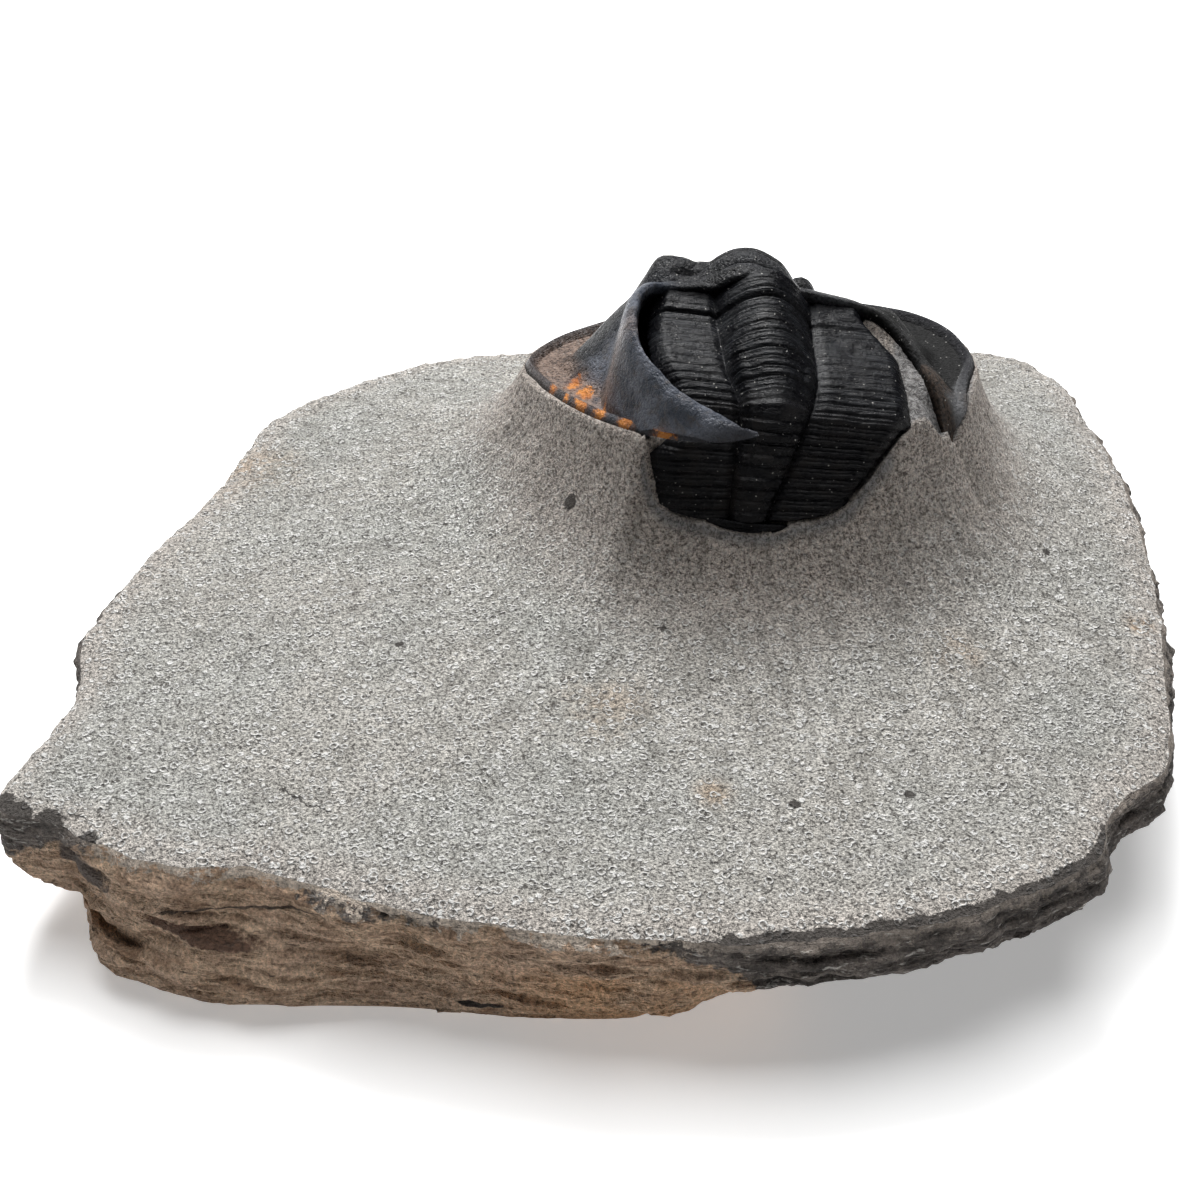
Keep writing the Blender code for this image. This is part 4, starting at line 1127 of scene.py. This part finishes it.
def head_material(specks):
    """Black shell, blue-grey on the left cheek, with a browner pitted fringe, orange iron stain and painted
    shade on its right side.
    """
    material, tree, shader = new_material("blue_grey_shell", (0.03, 0.033, 0.040), 0.40)
    here = place(tree)
    broad, fine = cloud(tree, here, 2.4, 4.0, 0.6), cloud(tree, here, 0.30, 3.0, 0.65)
    fringe, rust, dull_and_shaded = mask(tree, "fringe"), mask(tree, "rust"), mask(tree, "dull_and_shaded")
    is_blue = mask(tree, "blue")
    ragged = cloud(tree, place(tree, (0.8, 1.5, 1.0), (0.0, 0.0, 0.6)), 1.1, 6.0, 0.8)
    in_spots = spread(tree, weighed(tree, (rust, 1.0), (minus(tree, ragged, 0.5), 4.2)), 0.35, 0.80)
    stain = times(tree, in_spots, spread(tree, rust, 0.0, 0.2))
    speck = specks_on(tree, specks, here, 0.70, 0.13, 0.08)
    speck = times(tree, speck, spread(tree, is_blue, 0.6, 0.1, 0.0, 0.6))

    black = colour(tree, spread(tree, broad, 0.35, 0.66), HEAD_BLACK, HEAD_CHARCOAL)
    # Painted shade darkens the right side of the head.
    black = colour(tree, dull_and_shaded, black, HEAD_SHADE_ON_RIGHT)
    blue = colour(tree, spread(tree, broad, 0.35, 0.66), BLUE_DEEP, BLUE_PALE)
    mottle = spread(tree, cloud(tree, here, 1.1, 4.0, 0.7), 0.50, 0.66, 0.0, 0.55)
    blue = colour(tree, mottle, blue, BLUE_WORN)
    brown = colour(tree, spread(tree, fine, 0.38, 0.62), FRINGE_DEEP, FRINGE_PALE)
    worn = colour(tree, spread(tree, fine, 0.4, 0.6), BLADE_DEEP, BLADE_PALE)
    rusty = colour(tree, spread(tree, broad, 0.4, 0.6), RUST_DEEP, RUST_BRIGHT)
    tone = laid_over(
        tree, black,
        (is_blue, blue),
        (times(tree, times(tree, fringe, spread(tree, broad, 0.28, 0.50)), 0.9), brown),
        (times(tree, mask(tree, "rim"), 0.8), RIM_BLACK),
        (mask(tree, "blade"), worn),
        (mask(tree, "facet"), FACET_GREY),
        (times(tree, rust, 0.6), RUST_HALO),
        (times(tree, stain, 0.9), rusty),
        (speck, HEAD_SPECK))
    tree.links.new(tone, shader["Base Color"])
    gloss = plus(tree, spread(tree, fine, 0.35, 0.65, 0.24, 0.48), times(tree, dull_and_shaded, 0.35))
    tree.links.new(gloss, shader["Roughness"])
    shader["Specular IOR Level"].default_value = 0.17
    pits = times(tree, spread(tree, cells(tree, here, 0.34), 0.10, 0.34), fringe)
    height = weighed(tree, (pits, 0.6), (fine, 1.0), (cloud(tree, here, 0.9, 4.0, 0.65), 1.6))
    tree.links.new(bump(tree, height, 0.26), shader["Normal"])
    return material


def body_material(specks):
    """Glossy black shell with fine lines across it and pin-prick pale specks."""
    material, tree, shader = new_material("black_shell", (0.008, 0.009, 0.010), 0.3)
    here = place(tree)
    broad, fine = cloud(tree, here, 1.8, 4.0, 0.6), cloud(tree, here, 0.25, 3.0, 0.7)
    streak = cloud(tree, place(tree, (5.0, 0.45, 0.45)), 0.40, 3.0, 0.65)
    speck = times(tree, specks_on(tree, specks, here, 0.62, 0.14, 0.09), spread(tree, fine, 0.45, 0.6))
    tone = colour(tree, spread(tree, broad, 0.35, 0.7), BODY_BLACK, BODY_CHARCOAL)
    tone = laid_over(
        tree, tone,
        (spread(tree, streak, 0.55, 0.68, 0.0, 0.5), BODY_STREAK),
        (times(tree, mask(tree, "rear"), spread(tree, broad, 0.4, 0.7, 0.0, 0.6)), BODY_BROWN),
        (times(tree, speck, 0.8), BODY_SPECK))
    tree.links.new(tone, shader["Base Color"])
    tree.links.new(spread(tree, broad, 0.3, 0.7, 0.14, 0.36), shader["Roughness"])
    shader["Specular IOR Level"].default_value = 0.12
    height = weighed(tree, (fine, 0.9), (streak, 1.2), (broad, 0.6))
    tree.links.new(bump(tree, height, 0.09), shader["Normal"])
    return material


def tool_mark_tree():
    """Geometry Nodes tree that presses the small round marks of the tool into the dressed stone."""
    tree = bpy.data.node_groups.new("tool_marks", "GeometryNodeTree")
    put = tree.interface.new_socket
    put("Geometry", in_out="INPUT", socket_type="NodeSocketGeometry")
    for name, value in (("Mark Spacing", MARK_SPACING), ("Mark Depth", MARK_DEPTH)):
        put(name, in_out="INPUT", socket_type="NodeSocketFloat").default_value = value
    put("Stone", in_out="INPUT", socket_type="NodeSocketMaterial")
    put("Geometry", in_out="OUTPUT", socket_type="NodeSocketGeometry")
    given = tree.nodes.new("NodeGroupInput").outputs
    metres = node(tree, "GeometryNodeInputPosition")
    here = node(tree, "ShaderNodeVectorMath", {0: metres, "Scale": 1.0 / MM}, operation="SCALE")
    size = maths(tree, "DIVIDE", 1.0, given["Mark Spacing"])
    to_mark = node(tree, "ShaderNodeTexVoronoi", {"Vector": here, "Scale": size, "Randomness": 1.0})
    worked = node(tree, "GeometryNodeInputNamedAttribute", {"Name": "worked"}, data_type="FLOAT")
    press = times(tree, spread(tree, to_mark, 0.5, 0.0), given["Mark Depth"])
    depth = times(tree, times(tree, press, worked), -MM)
    normal = node(tree, "GeometryNodeInputNormal")
    offset = node(tree, "ShaderNodeVectorMath", {0: normal, "Scale": depth}, operation="SCALE")
    shaped = node(tree, "GeometryNodeSetPosition", {"Geometry": given["Geometry"], "Offset": offset})
    real = node(tree, "GeometryNodeRealizeInstances", {"Geometry": shaped})
    dressed = node(tree, "GeometryNodeSetMaterial", {"Geometry": real, "Material": given["Stone"]})
    result = tree.nodes.new("NodeGroupOutput")
    tree.links.new(dressed, result.inputs["Geometry"])
    return tree


def press_marks(piece, material):
    """Presses the tool's marks into the dressed stone, then turns it into plain mesh."""
    marks = piece.modifiers.new("tool_marks", "NODES")
    marks.node_group = tool_mark_tree()
    for item in marks.node_group.interface.items_tree:
        if item.in_out == "INPUT" and item.name == "Stone":
            marks[item.identifier] = material
    settle(piece)


def set_stage():
    """Camera, table, sky and lamps."""
    scene = bpy.context.scene
    camera = bpy.data.objects.new("camera", bpy.data.cameras.new("camera"))
    camera.location = CAMERA_AT
    camera.rotation_euler = (math.radians(CAMERA_TILT), 0.0, 0.0)
    camera.data.lens = LENS
    camera.data.sensor_width = SENSOR_WIDTH
    camera.data.clip_start = NEAREST_SEEN
    scene.collection.objects.link(camera)
    scene.camera = camera

    floor_material, _, shader = new_material("white_table", (0.86, 0.86, 0.86), 0.7)
    shader["Emission Color"].default_value = (1.0, 1.0, 1.0, 1.0)
    shader["Emission Strength"].default_value = FLOOR_GLOW
    ends = (-FLOOR_REACH, FLOOR_REACH)
    corners = np.array([[(x, y, 0.0) for x in ends] for y in ends])
    floor = add_piece("floor", surface_mesh("floor", corners), floor_material)
    floor.data.transform(Matrix.Translation((0.0, 0.0, -FLOOR_SINK)))

    world = bpy.data.worlds.new("studio")
    world.use_nodes = True
    sky = world.node_tree
    direction = along_axes(sky, node(sky, "ShaderNodeTexCoord"))
    upward = weighed(sky, *zip(direction, SKY_DIRECTION))
    sky.links.new(spread(sky, upward, -0.4, 1.1, *SKY_STRENGTH), sky.nodes["Background"].inputs["Strength"])
    scene.world = world
    for name, at, size, power in LAMPS:
        light = bpy.data.objects.new(name, bpy.data.lights.new(name, "AREA"))
        light.data.size = size
        light.data.energy = power
        light.location = at
        light.rotation_euler = (-Vector(at)).to_track_quat("-Z", "Y").to_euler()
        scene.collection.objects.link(light)
    scene.view_settings.view_transform = "Standard"


def main():
    set_stage()
    grit, specks = grit_group(), speck_group()
    stone, broken = dressed_stone_material(grit), broken_stone_material(grit)
    shell, body = head_material(specks), body_material(specks)
    head = build_head(shell)
    thorax = build_body(body)
    thicken(thorax, THORAX_THICKNESS)
    tail = build_tail(body)
    thicken(tail, THORAX_THICKNESS)
    dressed, side = build_stone(stone, broken, tree_of([head, thorax, tail]))
    press_marks(dressed, stone)
    for piece, cad_node, slot in (
        (head, "cephalon", "head_shell"), (thorax, "thorax", "body_shell"), (tail, "pygidium", "body_shell"),
        (dressed, "matrix_rock", "limestone"), (side, "matrix_rock", "limestone"),
    ):
        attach(piece, "root")
        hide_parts(cad_node)
        print(piece.name, sum(len(p.vertices) - 2 for p in piece.data.polygons), "triangles")


main()
